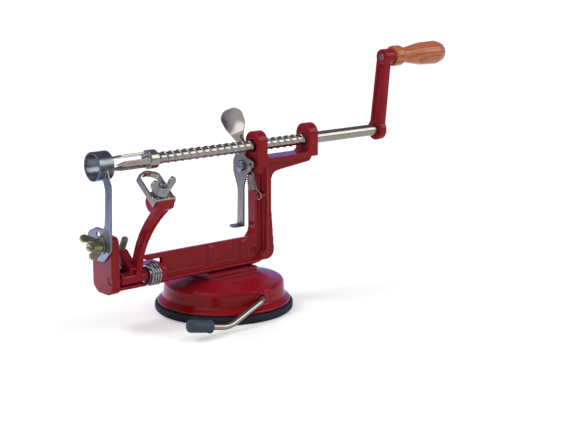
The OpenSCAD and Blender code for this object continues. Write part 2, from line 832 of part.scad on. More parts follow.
module peeling_arm() {
    color([0.62, 0.04, 0.06])
        difference() {
            union() {
                bar_x(barrel_x0, barrel_x1, barrel_d, pivot_y, pivot_z);
                in_yz(arm_x1 - arm_t, arm_t)
                    polygon(ribbon(arm_root, arm_pull, arm_neck, arm_w0, arm_w1));
                in_yz(lug_x, lug_t)
                    polygon(rounded([[pivot_y, 40.5, 0], [-4.6, 42.2, 2], [9.4, 52, 3.4], [4.6, 58.6, 3.4],
                                     [-7, 49, 3], [-12.6, 47, 0]]));
                on_seat()
                    translate([-head_w / 2, 0, 0])
                        in_yz(0, head_w)
                            polygon(rounded([[-7, 0, 1], [6, 0, 1], [6.6, -8, 5], [-1, -12.5, 5],
                                             [-7.4, -6, 3]]));
            }
            on_seat()
                union() {
                    translate([0, 0, -10])
                        cylinder(h = 20, d = blade_screw_d + 2 * run_gap);
                    translate([0, 0, -11.6])
                        cylinder(h = 3.6, d = blade_screw_d + 5.4);
                }
            bar_x(barrel_x0 - 1, barrel_x1 + 1, pivot_d + 2 * run_gap, pivot_y, pivot_z);
            on_stop()
                translate([0, 0, -20])
                    cylinder(h = 40, d = stop_d + 2 * run_gap);
        }
}

module arm_pivot_pin() {
    color([0.78, 0.79, 0.8])
        bar_x(bracket_x - 0.8, spring_x1 + 6, pivot_d, pivot_y, pivot_z);
}

module spring_bush() {
    color([0.72, 0.73, 0.75])
        difference() {
            bar_x(barrel_x1 + 0.3, spring_x1 + 0.3, 2 * (spring_r * cos(22.5) - twist_wire / 2 - 0.3), pivot_y, pivot_z);
            bar_x(barrel_x1 - 1, spring_x1 + 2, pivot_d + 2 * run_gap, pivot_y, pivot_z);
        }
}

// coil round the pin; one end stands up under the bed, the other reaches the side of the arm
module torsion_spring() {
    x0 = barrel_x1 + 0.8 + twist_wire / 2;
    x1 = spring_x1 - twist_wire / 2;
    steps = twist_turns * 8;
    up = pivot_z + spring_r * 0.9;
    coil = [for (i = [0:steps]) let (a = 180 + 45 * i)
        [x0 + (x1 - x0) * i / steps, pivot_y + spring_r * cos(a), pivot_z + spring_r * sin(a)]];
    arm_y = pivot_y - 4.4;
    leg_a = [[arm_x1 + 0.4, arm_y, up + 1.5], [arm_x1 + 2.2, arm_y, up + 1.5],
             [arm_x1 + 3.6, arm_y - 0.4, up + 1.3], [x0 - 1.3, arm_y - 2, up],
             [x0 - 0.2, pivot_y - spring_r, up - 2.4]];
    leg_b = [[x1, pivot_y + spring_r - 0.4, pivot_z + 3], [x1, -3, bed_top - 3.5 - 2.4],
             [x1, -3, bed_top - 3.5 - 0.4]];
    path = concat(leg_a, coil, leg_b);
    echo(torsion_spring_least_gap = least_gap(path, twist_wire, 4));
    color([0.75, 0.76, 0.78])
        wire(path, twist_wire);
}

module stop_screw() {
    color([0.72, 0.73, 0.75])
        on_stop()
            difference() {
                translate([0, 0, -5.8])
                    cylinder(h = stop_len, d = stop_d);
                translate([-5, -0.5, stop_len - 7.2])
                    cube([10, 1, 4]);
            }
}

module peeling_blade() {
    half = stirrup_w / 2;
    color([0.82, 0.83, 0.84])
        on_seat()
            difference() {
                union() {
                    translate([-half + strip_t / 2, -6.4, seat_gap])
                        cube([stirrup_w - strip_t, 11.4, strip_t]);
                    translate([0, -5.6, -2.6])
                        rotate([leg_lean, 0, 0])
                            translate([0, 0, -strip_w / 2])
                                linear_extrude(strip_w)
                                    difference() {
                                        polygon(rounded([[-half, 0, 0], [-half, stirrup_len - 2, 3.5],
                                                         [0, stirrup_len + 2.4, 8],
                                                         [half, stirrup_len - 2, 3.5], [half, 0, 0]]));
                                        translate([0, -strip_t])
                                            polygon(rounded([[-half + strip_t, 0, 0],
                                                             [-half + strip_t, stirrup_len - 2, 2.4],
                                                             [0, stirrup_len + 2.4, 8],
                                                             [half - strip_t, stirrup_len - 2, 2.4],
                                                             [half - strip_t, 0, 0]]));
                                    }
                }
                cylinder(h = 20, d = blade_screw_d + 2 * run_gap, center = true);
            }
}

module blade_screw() {
    color([0.72, 0.73, 0.75])
        on_seat()
            union() {
                translate([0, 0, -8 - seat_gap - 3])
                    cylinder(h = 3, d = blade_screw_d * 1.8);
                translate([0, 0, -10])
                    cylinder(h = 10 + strip_t + wing_hub_h + 2.4, d = blade_screw_d);
            }
}

// wing nut on local Z, seat at z = 0, wings along local X
module wing_nut(bore) {
    reach = wing_span / 2;
    tall = wing_hub_h;
    difference() {
        union() {
            cylinder(h = tall, d1 = wing_hub_d, d2 = wing_hub_d - 2);
            for (s = [0, 180])
                rotate([0, 0, s])
                    rotate([90, 0, 0])
                        translate([0, 0, -wing_t / 2])
                            linear_extrude(wing_t)
                                polygon(rounded([[0, 0.6, 0], [wing_hub_d / 2 + 1, 0.6, 2],
                                                 [reach, tall + 1, 2.6], [reach - 1.4, tall + 6, 2.6],
                                                 [reach - 5.4, tall + 4.6, 2], [wing_hub_d / 2 - 1, tall - 0.6, 1.5],
                                                 [0, tall - 0.6, 0]]));
        }
        translate([0, 0, -1])
            cylinder(h = tall + 8, d = bore);
    }
}

module blade_wing_nut() {
    color([0.8, 0.81, 0.82])
        on_seat()
            translate([0, 0, 2 * seat_gap + strip_t])
                rotate([0, 0, 8])
                    wing_nut(blade_screw_d + 2 * run_gap);
}

// Slicer blade

module slicer_outline() {
    ring_r = ring_bore / 2 + ring_wall;
    low = bolt_z - 12;
    polygon(rounded([[-12.8, bolt_z - 3, 5], [-3, low, 6], [8, low, 6], [17.2, bolt_z - 4, 6],
                     [17.2, bolt_z + 7, 6], [6, bolt_z + 12, 5], [-5, bolt_z + 12, 4],
                     [riser_w - riser_side + 1.2, bolt_z + 22, 12], [riser_w - riser_side, shaft_z - 15, 12],
                     [-ring_r * 0.45, shaft_z - ring_r * 0.9, 0], [-ring_r * 0.97, shaft_z - 1, 0],
                     [-riser_side, shaft_z - riser_end, 10]]));
}

module slicer_blade() {
    ring_r = ring_bore / 2 + ring_wall;
    ring_x = slicer_x + slicer_t / 2 - ring_len / 2;
    color([0.66, 0.7, 0.75])
        difference() {
            union() {
                in_yz(slicer_x, slicer_t)
                    slicer_outline();
                bar_x(ring_x, ring_x + ring_len, 2 * ring_r, 0, shaft_z);
            }
            bar_x(ring_x - 1, ring_x + ring_len + 1, ring_bore, 0, shaft_z);
            bar_x(slicer_x - 1, slicer_x + slicer_t + 1, bolt_d + 2 * run_gap, 0, bolt_z);
            in_yz(slicer_x - 1, slicer_t + 2)
                translate([3.3, bolt_z + 7])
                    circle(d = 4.4);
        }
}

module slicer_bolt() {
    front = slicer_x - 1.2 - wing_hub_h - 3;
    back = bracket_x + bracket_t + seat_gap;
    color([0.78, 0.72, 0.5])
        difference() {
            union() {
                bar_x(front, back + 1, bolt_d, 0, bolt_z);
                bar_x(back, back + 2.4, bolt_d * 1.9, 0, bolt_z);
            }
            translate([front - 1, -5, bolt_z - 0.5])
                cube([2.2, 10, 1]);
        }
}

module slicer_washer() {
    color([0.72, 0.73, 0.75])
        difference() {
            bar_x(slicer_x - seat_gap - 1, slicer_x - seat_gap, bolt_d * 2.2, 0, bolt_z);
            bar_x(slicer_x - 3, slicer_x + 1, bolt_d + 2 * run_gap, 0, bolt_z);
        }
}

module slicer_wing_nut() {
    color([0.85, 0.72, 0.35])
        translate([slicer_x - 2 * seat_gap - 1, 0, bolt_z])
            rotate([0, -90, 0])
                rotate([0, 0, 48])
                    wing_nut(bolt_d + 2 * run_gap);
}

// Release lever

module paddle() {
    half = paddle_w / 2;
    polygon(rounded([[-3.6, -4, 1], [1.4, -4, 0.8], [3, 0.6, 3], [half * 0.9, paddle_len * 0.42, 8],
                     [half, paddle_len * 0.8, 7], [half * 0.5, paddle_len, 6],
                     [-half * 0.5, paddle_len, 6], [-half, paddle_len * 0.8, 7],
                     [-half * 0.9, paddle_len * 0.42, 8]]));
}

module release_lever() {
    nose = core_r + 0.2;
    top = shaft_z + 7;
    foot_z = bed_top + 5;
    x0 = lever_x - lever_t / 2;
    color([0.8, 0.81, 0.82])
        difference() {
            union() {
                in_yz(x0, lever_t)
                    polygon(rounded([[8.2, top, 1.5], [6.6, shaft_z + 3.4, 1], [nose, shaft_z + 1.5, 0.3],
                                     [nose, shaft_z - 1.5, 0.3], [7.2, shaft_z - 4.4, 1.5],
                                     [3.6, shaft_z - 8.6, 2.4], [hook_y - 3.4, hook_z + 2.6, 2.4],
                                     [hook_y - 3.4, hook_z - 2.2, 2], [4, lever_z - 7, 3], [7, lever_z - 16, 10],
                                     [7.4, foot_z, 0], [15, foot_z, 0], [14, lever_z - 18, 10],
                                     [19.4, lever_z - 5, 6], [19.4, lever_z + 3, 6], [14.6, shaft_z - 4, 6],
                                     [14.6, top, 1.5]]));
                translate([x0 + lever_t, 7.4, foot_z])
                    mirror([1, 0, 0])
                        linear_extrude(lever_t)
                            polygon(rounded([[0, 0, 0], [tab_len + lever_t, 0, 3.4],
                                             [tab_len + lever_t, 7.6, 3.4], [0, 7.6, 0]]));
                translate([lever_x, 11.2, shaft_z + 5.4])
                    rotate([-36, 0, 0])
                        rotate([0, 0, paddle_twist - 90])
                            rotate([90, 0, 0])
                                linear_extrude(lever_t, center = true)
                                    paddle();
            }
            bar_x(x0 - 1, x0 + lever_t + 1, lever_pin_d + 2 * run_gap, lever_y, lever_z);
            bar_x(x0 - 1, x0 + lever_t + 1, 2.2, hook_y, hook_z);
        }
}

module lever_stud() {
    face = lever_x - lever_t / 2 - seat_gap;
    color([0.72, 0.73, 0.75])
        difference() {
            union() {
                bar_x(face - 2.8, face, lever_pin_d + 3.4, lever_y, lever_z);
                bar_x(face - 1, post_x + 5.6, lever_pin_d, lever_y, lever_z);
            }
            translate([face - 3.8, lever_y - 6, lever_z - 0.5])
                cube([2, 12, 1]);
        }
}

// pull spring between the peg on the post and the hole in the lever, with an open hook at the hole
module lever_spring() {
    hook = [lever_x, hook_y, hook_z];
    peg = [peg_x, peg_y, peg_z];
    d = unit(hook - peg);
    e1 = unit([1, 0, 0] - d * d[0]);
    e2 = cross(d, e1);
    loop_r = 2.9;
    neck = loop_r + 2.2;
    start = peg + d * (neck + loop_r * cos(22.5) - pull_wire / 2 - peg_d / 2 - 0.3);
    tall = norm(hook - start) - neck - loop_r;
    steps = pull_turns * 8;
    loop = [for (i = [0:6]) loop_r * [cos(160 + 45 * i), sin(160 + 45 * i)]];
    low = [for (i = [6:-1:0]) [0, loop[i][0], loop[i][1] - neck]];
    coil = [for (i = [0:steps]) [pull_r * (cos(45 * i) - 1), pull_r * sin(45 * i), tall * i / steps]];
    high = [for (i = [0:3]) [loop[i][0], 0, tall + neck - loop[i][1]]];
    path = concat(low, [[0, -1.2, -1.9], [0, -0.2, -1]], coil, [[-0.2, 0, tall + 1], [-1.2, 0, tall + 1.9]], high);
    placed = [for (p = path) start + e1 * p[0] + e2 * p[1] + d * p[2]];
    echo(lever_spring_least_gap = least_gap(placed, pull_wire, 5));
    color([0.78, 0.79, 0.8])
        wire(placed, pull_wire);
}

// everything above the foot is drawn from the frame's own middle line
module upper() {
    translate([-foot_x, 0, 0])
        children();
}

upper() frame_casting();
base_casting();
base_screws();
suction_pad();
pull_stud();
suction_lever();
lever_cam();
lever_grip();
axle_clip();
upper() feed_shaft();
upper() fork();
upper() fork_rivet();
upper() crank_arm();
upper() crank_set_screw();
upper() handle_screw();
upper() handle_washer();
upper() handle();
upper() peeling_arm();
upper() arm_pivot_pin();
upper() spring_bush();
upper() torsion_spring();
upper() stop_screw();
upper() peeling_blade();
upper() blade_screw();
upper() blade_wing_nut();
upper() slicer_blade();
upper() slicer_bolt();
upper() slicer_washer();
upper() slicer_wing_nut();
upper() release_lever();
upper() lever_stud();
upper() lever_spring();
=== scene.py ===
# %% [markdown]
# # A hand cranked apple peeler
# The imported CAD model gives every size, place and joint of this kitchen tool. This lesson adds what a
# solid model leaves out: soft cast corners, cut threads, wound wire and the finishes. Every piece is made
# in place and in metres, and then told which moving body it rides on, so that one scene is right at every
# pose.

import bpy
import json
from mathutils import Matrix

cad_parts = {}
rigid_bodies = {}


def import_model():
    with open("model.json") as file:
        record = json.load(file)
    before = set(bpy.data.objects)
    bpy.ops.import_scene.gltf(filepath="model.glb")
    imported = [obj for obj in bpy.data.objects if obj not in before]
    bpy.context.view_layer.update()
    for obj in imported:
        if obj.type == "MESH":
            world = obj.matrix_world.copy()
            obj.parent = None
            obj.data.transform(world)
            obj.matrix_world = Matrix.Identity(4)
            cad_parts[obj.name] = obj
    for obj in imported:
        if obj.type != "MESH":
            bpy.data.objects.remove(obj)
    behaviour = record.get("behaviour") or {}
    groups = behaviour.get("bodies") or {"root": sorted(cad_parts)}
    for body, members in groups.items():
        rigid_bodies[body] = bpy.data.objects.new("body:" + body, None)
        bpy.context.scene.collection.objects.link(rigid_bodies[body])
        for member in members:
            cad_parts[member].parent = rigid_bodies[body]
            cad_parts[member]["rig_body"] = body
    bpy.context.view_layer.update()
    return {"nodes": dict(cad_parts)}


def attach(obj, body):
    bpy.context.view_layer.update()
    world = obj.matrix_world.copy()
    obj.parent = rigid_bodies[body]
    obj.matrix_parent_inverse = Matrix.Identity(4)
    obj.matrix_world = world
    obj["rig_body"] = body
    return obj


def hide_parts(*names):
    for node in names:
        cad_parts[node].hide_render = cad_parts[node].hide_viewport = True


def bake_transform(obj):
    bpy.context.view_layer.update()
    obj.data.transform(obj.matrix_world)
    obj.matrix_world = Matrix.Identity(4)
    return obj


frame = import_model()

# %% [markdown]
# The photograph was taken from low down with a long lens. Three directions, across, up and back towards
# the photographer, turn the camera without any angles to guess, and the lens is given on a sensor 36 mm
# wide.

# %% Camera
import json
import math

import bmesh
import bpy
from mathutils import Matrix, Vector

MM = 0.001
scene = bpy.context.scene
camera = bpy.data.objects.new("photo_camera", bpy.data.cameras.new("photo_camera"))
scene.collection.objects.link(camera)
camera.data.sensor_width = 36.0
camera.data.lens = 86.3
camera.data.clip_end = 50.0
across = Vector((0.76696, -0.64170, 0.0))
upward = Vector((0.13471, 0.16101, 0.97772))
backward = Vector((-0.62740, -0.74987, 0.20993))
stand = Matrix((across, upward, backward)).transposed().to_4x4()
stand.translation = Vector((-614.94, -814.97, 291.19)) * MM
camera.matrix_world = stand
scene.camera = camera
scene.view_settings.view_transform = "Standard"
print("camera stands", round(stand.translation.length, 3), "m from the foot")

# %% [markdown]
# Colours are written as sRGB hex values, as a paint chart gives them, and the shader works in linear
# light, so one function turns one into the other. A second one adds a shader node. Each input that is
# named gets a fixed value or a link from another node, and the outputs of the new node come back. Two
# settings are needed so often that they have names: a mix of colours instead of numbers, and a ramp with
# soft ends instead of a straight one.

# %% Colour and node helpers
RGBA = {"data_type": "RGBA"}
SOFT = {"interpolation_type": "SMOOTHSTEP"}


def linear(hex_colour):
    parts = [int(hex_colour[i:i + 2], 16) / 255 for i in (1, 3, 5)]
    return [c / 12.92 if c <= 0.04045 else ((c + 0.055) / 1.055) ** 2.4 for c in parts] + [1.0]


def add(tree, kind, inputs=None, **settings):
    node = tree.nodes.new(kind)
    for key, value in settings.items():
        setattr(node, key, value)
    for key, value in (inputs or {}).items():
        if isinstance(value, bpy.types.NodeSocket):
            tree.links.new(value, node.inputs[key])
        else:
            node.inputs[key].default_value = value
    return node.outputs


print("deep red in linear light:", [round(c, 3) for c in linear("#7A0B11")])

# %% [markdown]
# A product picture is lit by large soft lamps over a white sweep. Matt surfaces gather light from the
# whole sweep. Polished metal and enamel mirror the room instead: a dim ceiling that is lighter on the
# left, a bluish backdrop low behind the tool, a soft box up at the right, which gives a round bar its
# dark and bright bands, and a wider one where the key lamp stands. Each of these areas is a ramp over the
# height, or over how well a direction agrees with an aim. A dot product measures that, and it is one in
# the middle of the area.

# %% Areas of the studio
AIMS = {
    "back": (0.55, 0.80, 0.25),
    "left": (-0.80, -0.10, 0.58),
    "main_box": (0.63, -0.63, 0.46),
    "key_box": (-0.55, 0.08, 0.83),
}
AREAS = {
    "sweep": ("back", -0.7, 0.8),
    "overhead": ("height", 0.35, 0.85),
    "left": ("left", 0.55, 0.95),
    "low": ("height", 0.5, 0.2),
    "far": ("back", 0.2, 0.7),
    "key_box": ("key_box", 0.93, 0.97),
    "main_box": ("main_box", 0.93, 0.98),
}
studio = bpy.data.worlds.new("white_studio")
scene.world = studio
studio.use_nodes = True
tree = studio.node_tree
tree.nodes.clear()
way = add(tree, "ShaderNodeTexCoord")["Generated"]
measure = {"height": add(tree, "ShaderNodeSeparateXYZ", {0: way})["Z"]}
for name, aim in AIMS.items():
    measure[name] = add(tree, "ShaderNodeVectorMath", {0: way, 1: aim}, operation="DOT_PRODUCT")["Value"]
area = {}
for name, (measured, start, full) in AREAS.items():
    span = {"Value": measure[measured], "From Min": start, "From Max": full}
    area[name] = add(tree, "ShaderNodeMapRange", span, **SOFT)[0]
area["backdrop"] = add(tree, "ShaderNodeMath", {0: area["low"], 1: area["far"]}, operation="MULTIPLY")[0]
print("the studio has", len(area), "areas")

# %% [markdown]
# The light of the room is laid on in layers, one over the other, each in its area. Matt surfaces get the
# soft light, glossy rays get the mirrored room, and the camera itself sees plain white.

# %% Light of the studio
LIGHT_LEVEL = 0.62
KEY_BOX_LIGHT = (2.3, 2.28, 2.28, 1.0)
MAIN_BOX_LIGHT = (2.5, 2.42, 2.36, 1.0)
soft = linear("#5A5A60")
for name, light in (("sweep", linear("#DAD8EC")), ("overhead", linear("#FFFFFF"))):
    soft = add(tree, "ShaderNodeMix", {0: area[name], 6: soft, 7: light}, **RGBA)[2]
mirrored = linear("#706E76")
for name, light in (
    ("left", linear("#E4E6F4")),
    ("backdrop", linear("#8C98F0")),
    ("key_box", KEY_BOX_LIGHT),
    ("main_box", MAIN_BOX_LIGHT),
):
    mirrored = add(tree, "ShaderNodeMix", {0: area[name], 6: mirrored, 7: light}, **RGBA)[2]
rays = add(tree, "ShaderNodeLightPath")
glossy = rays["Is Glossy Ray"]
lit = add(tree, "ShaderNodeMix", {0: glossy, 6: soft, 7: mirrored}, **RGBA)[2]
direct = {0: rays["Is Camera Ray"], 1: rays["Is Transmission Ray"]}
seen = add(tree, "ShaderNodeMath", direct, operation="MAXIMUM")[0]
tint = add(tree, "ShaderNodeMix", {0: seen, 6: lit, 7: linear("#FFFFFF")}, **RGBA)[2]
shown = add(tree, "ShaderNodeMath", {0: seen, 1: glossy}, operation="MAXIMUM")[0]
power = add(tree, "ShaderNodeMapRange", {"Value": shown, "To Min": LIGHT_LEVEL, "To Max": 1.0})[0]
world_light = add(tree, "ShaderNodeBackground", {"Color": tint, "Strength": power})[0]
add(tree, "ShaderNodeOutputWorld", {"Surface": world_light})
print("world lights at", LIGHT_LEVEL, "of white")

# %% [markdown]
# Two sun lamps with a wide disc stand in for soft boxes. Unlike area lamps they light the far floor as
# brightly as the near floor, so the paper stays even. The key lamp shines from the left, and the shadow
# falls to the right. Both lamps are kept out of the reflections, because the soft boxes of the world are
# already mirrored there.

# %% Lamps
LAMPS = (
    ("key_lamp", 1.6, 24, (0.52, -0.26, -0.82)),
    ("fill_lamp", 1.12, 60, (-0.35, 0.60, -0.72)),
)
for name, strength, disc_degrees, shine in LAMPS:
    lamp = bpy.data.objects.new(name, bpy.data.lights.new(name, "SUN"))
    lamp.data.energy = strength
    lamp.data.angle = math.radians(disc_degrees)
    lamp.rotation_euler = Vector(shine).to_track_quat("-Z", "Y").to_euler()
    lamp.visible_glossy = False
    scene.collection.objects.link(lamp)
    print(name, "shines with", strength, "W per square metre")

# %% [markdown]
# The floor is a plain white sheet. For the camera, part of it glows at a strength of one, so that it
# reads as white paper, and the rest is lit, so that the shadow of the foot stays. In the polish it
# mirrors as a light grey in front of the tool and as a bright bluish white close behind it, which fades
# with the distance.

# %% White paper
PAPER_GLOW = 0.34
REAR_STARTS, REAR_FULL = 0.04, 0.16
FADE_STARTS, FADE_ENDS = 0.15, 0.45
NEAR_GLOW, FAR_GLOW = 2.2, 0.35
paper = bpy.data.materials.new("white_paper_matt")
paper.use_nodes = True
tree = paper.node_tree
tree.nodes.clear()
rays = add(tree, "ShaderNodeLightPath")
glossy = rays["Is Glossy Ray"]
paper_tone = add(tree, "ShaderNodeMix", {0: glossy, 6: linear("#FFFFFF"), 7: linear("#CCCAC8")}, **RGBA)[2]
sheet = add(tree, "ShaderNodeBsdfDiffuse", {"Color": paper_tone})[0]
spot = add(tree, "ShaderNodeTexCoord")["Object"]
depth = add(tree, "ShaderNodeSeparateXYZ", {0: spot})["Y"]
rear_span = {"Value": depth, "From Min": REAR_STARTS, "From Max": REAR_FULL}
rear = add(tree, "ShaderNodeMapRange", rear_span, **SOFT)[0]
rear_share = add(tree, "ShaderNodeMath", {0: rear, 1: glossy}, operation="MULTIPLY")[0]
fade_span = {
    "Value": depth, "From Min": FADE_STARTS, "From Max": FADE_ENDS, "To Min": NEAR_GLOW, "To Max": FAR_GLOW,
}
fading = add(tree, "ShaderNodeMapRange", fade_span)[0]
back_light = add(tree, "ShaderNodeEmission", {"Color": linear("#E0E0FF"), "Strength": fading})[0]
lit_sheet = add(tree, "ShaderNodeMixShader", {0: rear_share, 1: sheet, 2: back_light})[0]
glow = add(tree, "ShaderNodeEmission", {"Color": linear("#FFFFFF"), "Strength": 1.0})[0]
glow_share = add(tree, "ShaderNodeMath", {0: rays["Is Camera Ray"], 1: PAPER_GLOW}, operation="MULTIPLY")[0]
lit_paper = add(tree, "ShaderNodeMixShader", {0: glow_share, 1: lit_sheet, 2: glow})[0]
add(tree, "ShaderNodeOutputMaterial", {"Surface": lit_paper})
print("made", paper.name)

# %% [markdown]
# The sheet itself is a single square, so wide that no view reaches its edge. It lies a tenth of a
# millimetre below the pad, so that the two faces don't flicker into each other.

# %% Floor
FLOOR_HALF = 14.0
floor_mesh = bpy.data.meshes.new("floor")
floor_corners = [(a * FLOOR_HALF, b * FLOOR_HALF, 0) for a, b in ((-1, -1), (1, -1), (1, 1), (-1, 1))]
floor_mesh.from_pydata(floor_corners, [], [(0, 1, 2, 3)])
floor_mesh.materials.append(paper)
floor = bpy.data.objects.new("floor", floor_mesh)
floor.location.z = -0.1 * MM
scene.collection.objects.link(floor)
print("floor is", 2 * FLOOR_HALF, "m wide")

# %% [markdown]
# Every finish starts from the same shader and is placed by the object's own coordinates, so a pattern can
# be given by its real size in millimetres. At the end, its colour, its roughness and its bump are led to
# the shader.

# %% Start and end of a finish
def repeats(size_mm):
    return 1000.0 / size_mm


def new_finish(name):
    finish = bpy.data.materials.new(name)
    finish.use_nodes = True
    tree = finish.node_tree
    return finish, tree, tree.nodes["Principled BSDF"], add(tree, "ShaderNodeTexCoord")["Object"]


def connect(tree, shader, colour, roughness, normal=None):
    tree.links.new(colour, shader.inputs["Base Color"])
    tree.links.new(roughness, shader.inputs["Roughness"])
    if normal is not None:
        tree.links.new(normal, shader.inputs["Normal"])


print("a grain of half a millimetre repeats", round(repeats(0.5)), "times in a metre")

# %% [markdown]
# The castings are iron with a stoved enamel: thick, glossy and dark red. Baked enamel flows before it
# sets, so it pools a little unevenly and keeps a faint orange peel, and it thins a little at sharp
# edges. The edges are painted lighter too, which is a painted highlight: the glint that a sharp edge
# catches. The pooling and the peel are noise at their real sizes, and the painted edge glint comes from how
# far the surface bulges. Seen flat along the surface, the enamel has a violet bloom, which is a thin sheen.

# %% Stoved enamel
enamel, tree, shader, place = new_finish("red_stoved_enamel_on_cast_iron")
flow = add(tree, "ShaderNodeTexNoise", {"Vector": place, "Scale": repeats(14), "Detail": 2.0})[0]
pooled = add(tree, "ShaderNodeMix", {0: flow, 6: linear("#7A0B11"), 7: linear("#8F1017")}, **RGBA)[2]
# Painted highlight: where the surface bulges at sharp edges, the red is mixed towards a lighter pink, which
# stands in for the glint of the edge.
bulge = add(tree, "ShaderNodeNewGeometry")["Pointiness"]
edge_thinning_and_glint_span = {"Value": bulge, "From Min": 0.52, "From Max": 0.60, "To Max": 0.6}
edge_thinning_and_glint = add(tree, "ShaderNodeMapRange", edge_thinning_and_glint_span)[0]
thinned_with_painted_glint = add(tree, "ShaderNodeMix", {0: edge_thinning_and_glint, 6: pooled, 7: linear("#AC3C44")}, **RGBA)[2]
orange_peel = add(tree, "ShaderNodeTexNoise", {"Vector": place, "Scale": repeats(2.2), "Detail": 1.0})[0]
ripple = add(tree, "ShaderNodeBump", {"Height": orange_peel, "Strength": 0.35, "Distance": 0.03 * MM})[0]
gloss = add(tree, "ShaderNodeMapRange", {"Value": flow, "To Min": 0.10, "To Max": 0.20})[0]
shader.inputs["IOR"].default_value = 1.52
shader.inputs["Specular IOR Level"].default_value = 0.22
shader.inputs["Sheen Weight"].default_value = 0.3
shader.inputs["Sheen Roughness"].default_value = 0.3
shader.inputs["Sheen Tint"].default_value = linear("#8088FF")
connect(tree, shader, thinned_with_painted_glint, gloss, ripple)
print("made", enamel.name)

# %% [markdown]
# The shaft, the fork, the blade and the bent rod are mild steel with bright nickel plate. Nickel is a
# little warmer than chrome, and polishing leaves fine lines, which only show as a change of gloss. Real
# lines are far finer than a picture can show, so they are drawn 0.35 mm wide. One finish with lines along
# X does for the long pieces and the sheet pieces, because plate is polished lengthwise too.

# %% Bright nickel plate
nickel, tree, shader, place = new_finish("bright_nickel_plate_on_steel")
line_size = (repeats(20), repeats(0.35), repeats(0.35))
stretched = add(tree, "ShaderNodeMapping", {"Vector": place, "Scale": line_size})[0]
lines = add(tree, "ShaderNodeTexNoise", {"Vector": stretched, "Scale": 1.0, "Detail": 3.0})[0]
cloud = add(tree, "ShaderNodeTexNoise", {"Vector": place, "Scale": repeats(9), "Detail": 2.0})[0]
tone = add(tree, "ShaderNodeMix", {0: cloud, 6: linear("#A29E98"), 7: linear("#BCB8B1")}, **RGBA)[2]
gloss = add(tree, "ShaderNodeMapRange", {"Value": lines, "To Min": 0.14, "To Max": 0.30})[0]
fine = add(tree, "ShaderNodeBump", {"Height": lines, "Strength": 0.12, "Distance": 0.006 * MM})[0]
shader.inputs["Metallic"].default_value = 1.0
connect(tree, shader, tone, gloss, fine)
print("made", nickel.name)

# %% [markdown]
# The release lever has the same plate, but its stem is darker and duller than its paddle, so this finish
# changes over a few millimetres of height, just below the paddle.

# %% Dull nickel, bright where it is touched
DULL_UP_TO, BRIGHT_FROM = 0.120, 0.132
lever_nickel, tree, shader, place = new_finish("dull_nickel_plate_polished_by_touch")
up = add(tree, "ShaderNodeSeparateXYZ", {0: place})["Z"]
paddle_span = {"Value": up, "From Min": DULL_UP_TO, "From Max": BRIGHT_FROM}
paddle_share = add(tree, "ShaderNodeMapRange", paddle_span, **SOFT)[0]
cloud = add(tree, "ShaderNodeTexNoise", {"Vector": place, "Scale": repeats(6), "Detail": 3.0})[0]
dull = add(tree, "ShaderNodeMix", {0: cloud, 6: linear("#86827E"), 7: linear("#A5A19C")}, **RGBA)[2]
# Below the paddle the colour is darker and the gloss duller, set by height alone.
tone = add(tree, "ShaderNodeMix", {0: paddle_share, 6: dull, 7: linear("#A49F98")}, **RGBA)[2]
gloss = add(tree, "ShaderNodeMapRange", {"Value": paddle_share, "To Min": 0.36, "To Max": 0.17})[0]
shader.inputs["Metallic"].default_value = 1.0
connect(tree, shader, tone, gloss)
print("made", lever_nickel.name)

# %% [markdown]
# Five more steels share one recipe and differ in colour and gloss. Clear zinc on the screws is grey and
# satin. The slicer is sheet steel with a blue passivated zinc, greyer and bluer. Yellow chromate on its
# wing nut is straw gold that drifts within a few millimetres. Spring wire is drawn bright. The stop screw
# has a grey phosphate coat, which is a layer of crystals and so hardly a metal in its looks. The grain of
# all five is drawn 0.4 mm wide, coarser than it is, so that it shows.

# %% Zinc plates, spring wire and phosphate
STEELS = (
    ("clear_zinc_plate_on_screws", "#888B90", "#B6B9BD", 0.22, 0.36, 3, 1.0),
    ("blue_zinc_plate_on_sheet_steel", "#6C7681", "#98A2AD", 0.20, 0.34, 6, 1.0),
    ("yellow_chromate_on_zinc", "#8A8464", "#BAB292", 0.22, 0.36, 3, 1.0),
    ("drawn_spring_steel_wire", "#8C8D8F", "#C8C9CA", 0.12, 0.22, 2, 1.0),
    ("phosphated_and_oiled_steel", "#5E5A55", "#918C85", 0.24, 0.40, 2, 0.25),
)
steels = []
for name, dark, light, glossiest, dullest, drift_mm, metal in STEELS:
    finish, tree, shader, place = new_finish(name)
    drift = add(tree, "ShaderNodeTexNoise", {"Vector": place, "Scale": repeats(drift_mm), "Detail": 3.0})[0]
    tone = add(tree, "ShaderNodeMix", {0: drift, 6: linear(dark), 7: linear(light)}, **RGBA)[2]
    grit = add(tree, "ShaderNodeTexNoise", {"Vector": place, "Scale": repeats(0.4), "Detail": 2.0})[0]
    gloss = add(tree, "ShaderNodeMapRange", {"Value": grit, "To Min": glossiest, "To Max": dullest})[0]
    fine = add(tree, "ShaderNodeBump", {"Height": grit, "Strength": 0.25, "Distance": 0.012 * MM})[0]
    shader.inputs["Metallic"].default_value = metal
    connect(tree, shader, tone, gloss, fine)
    steels.append(finish)
    print("made", name)
screw_zinc, sheet_zinc, yellow_zinc, wire_steel, phosphate = steels
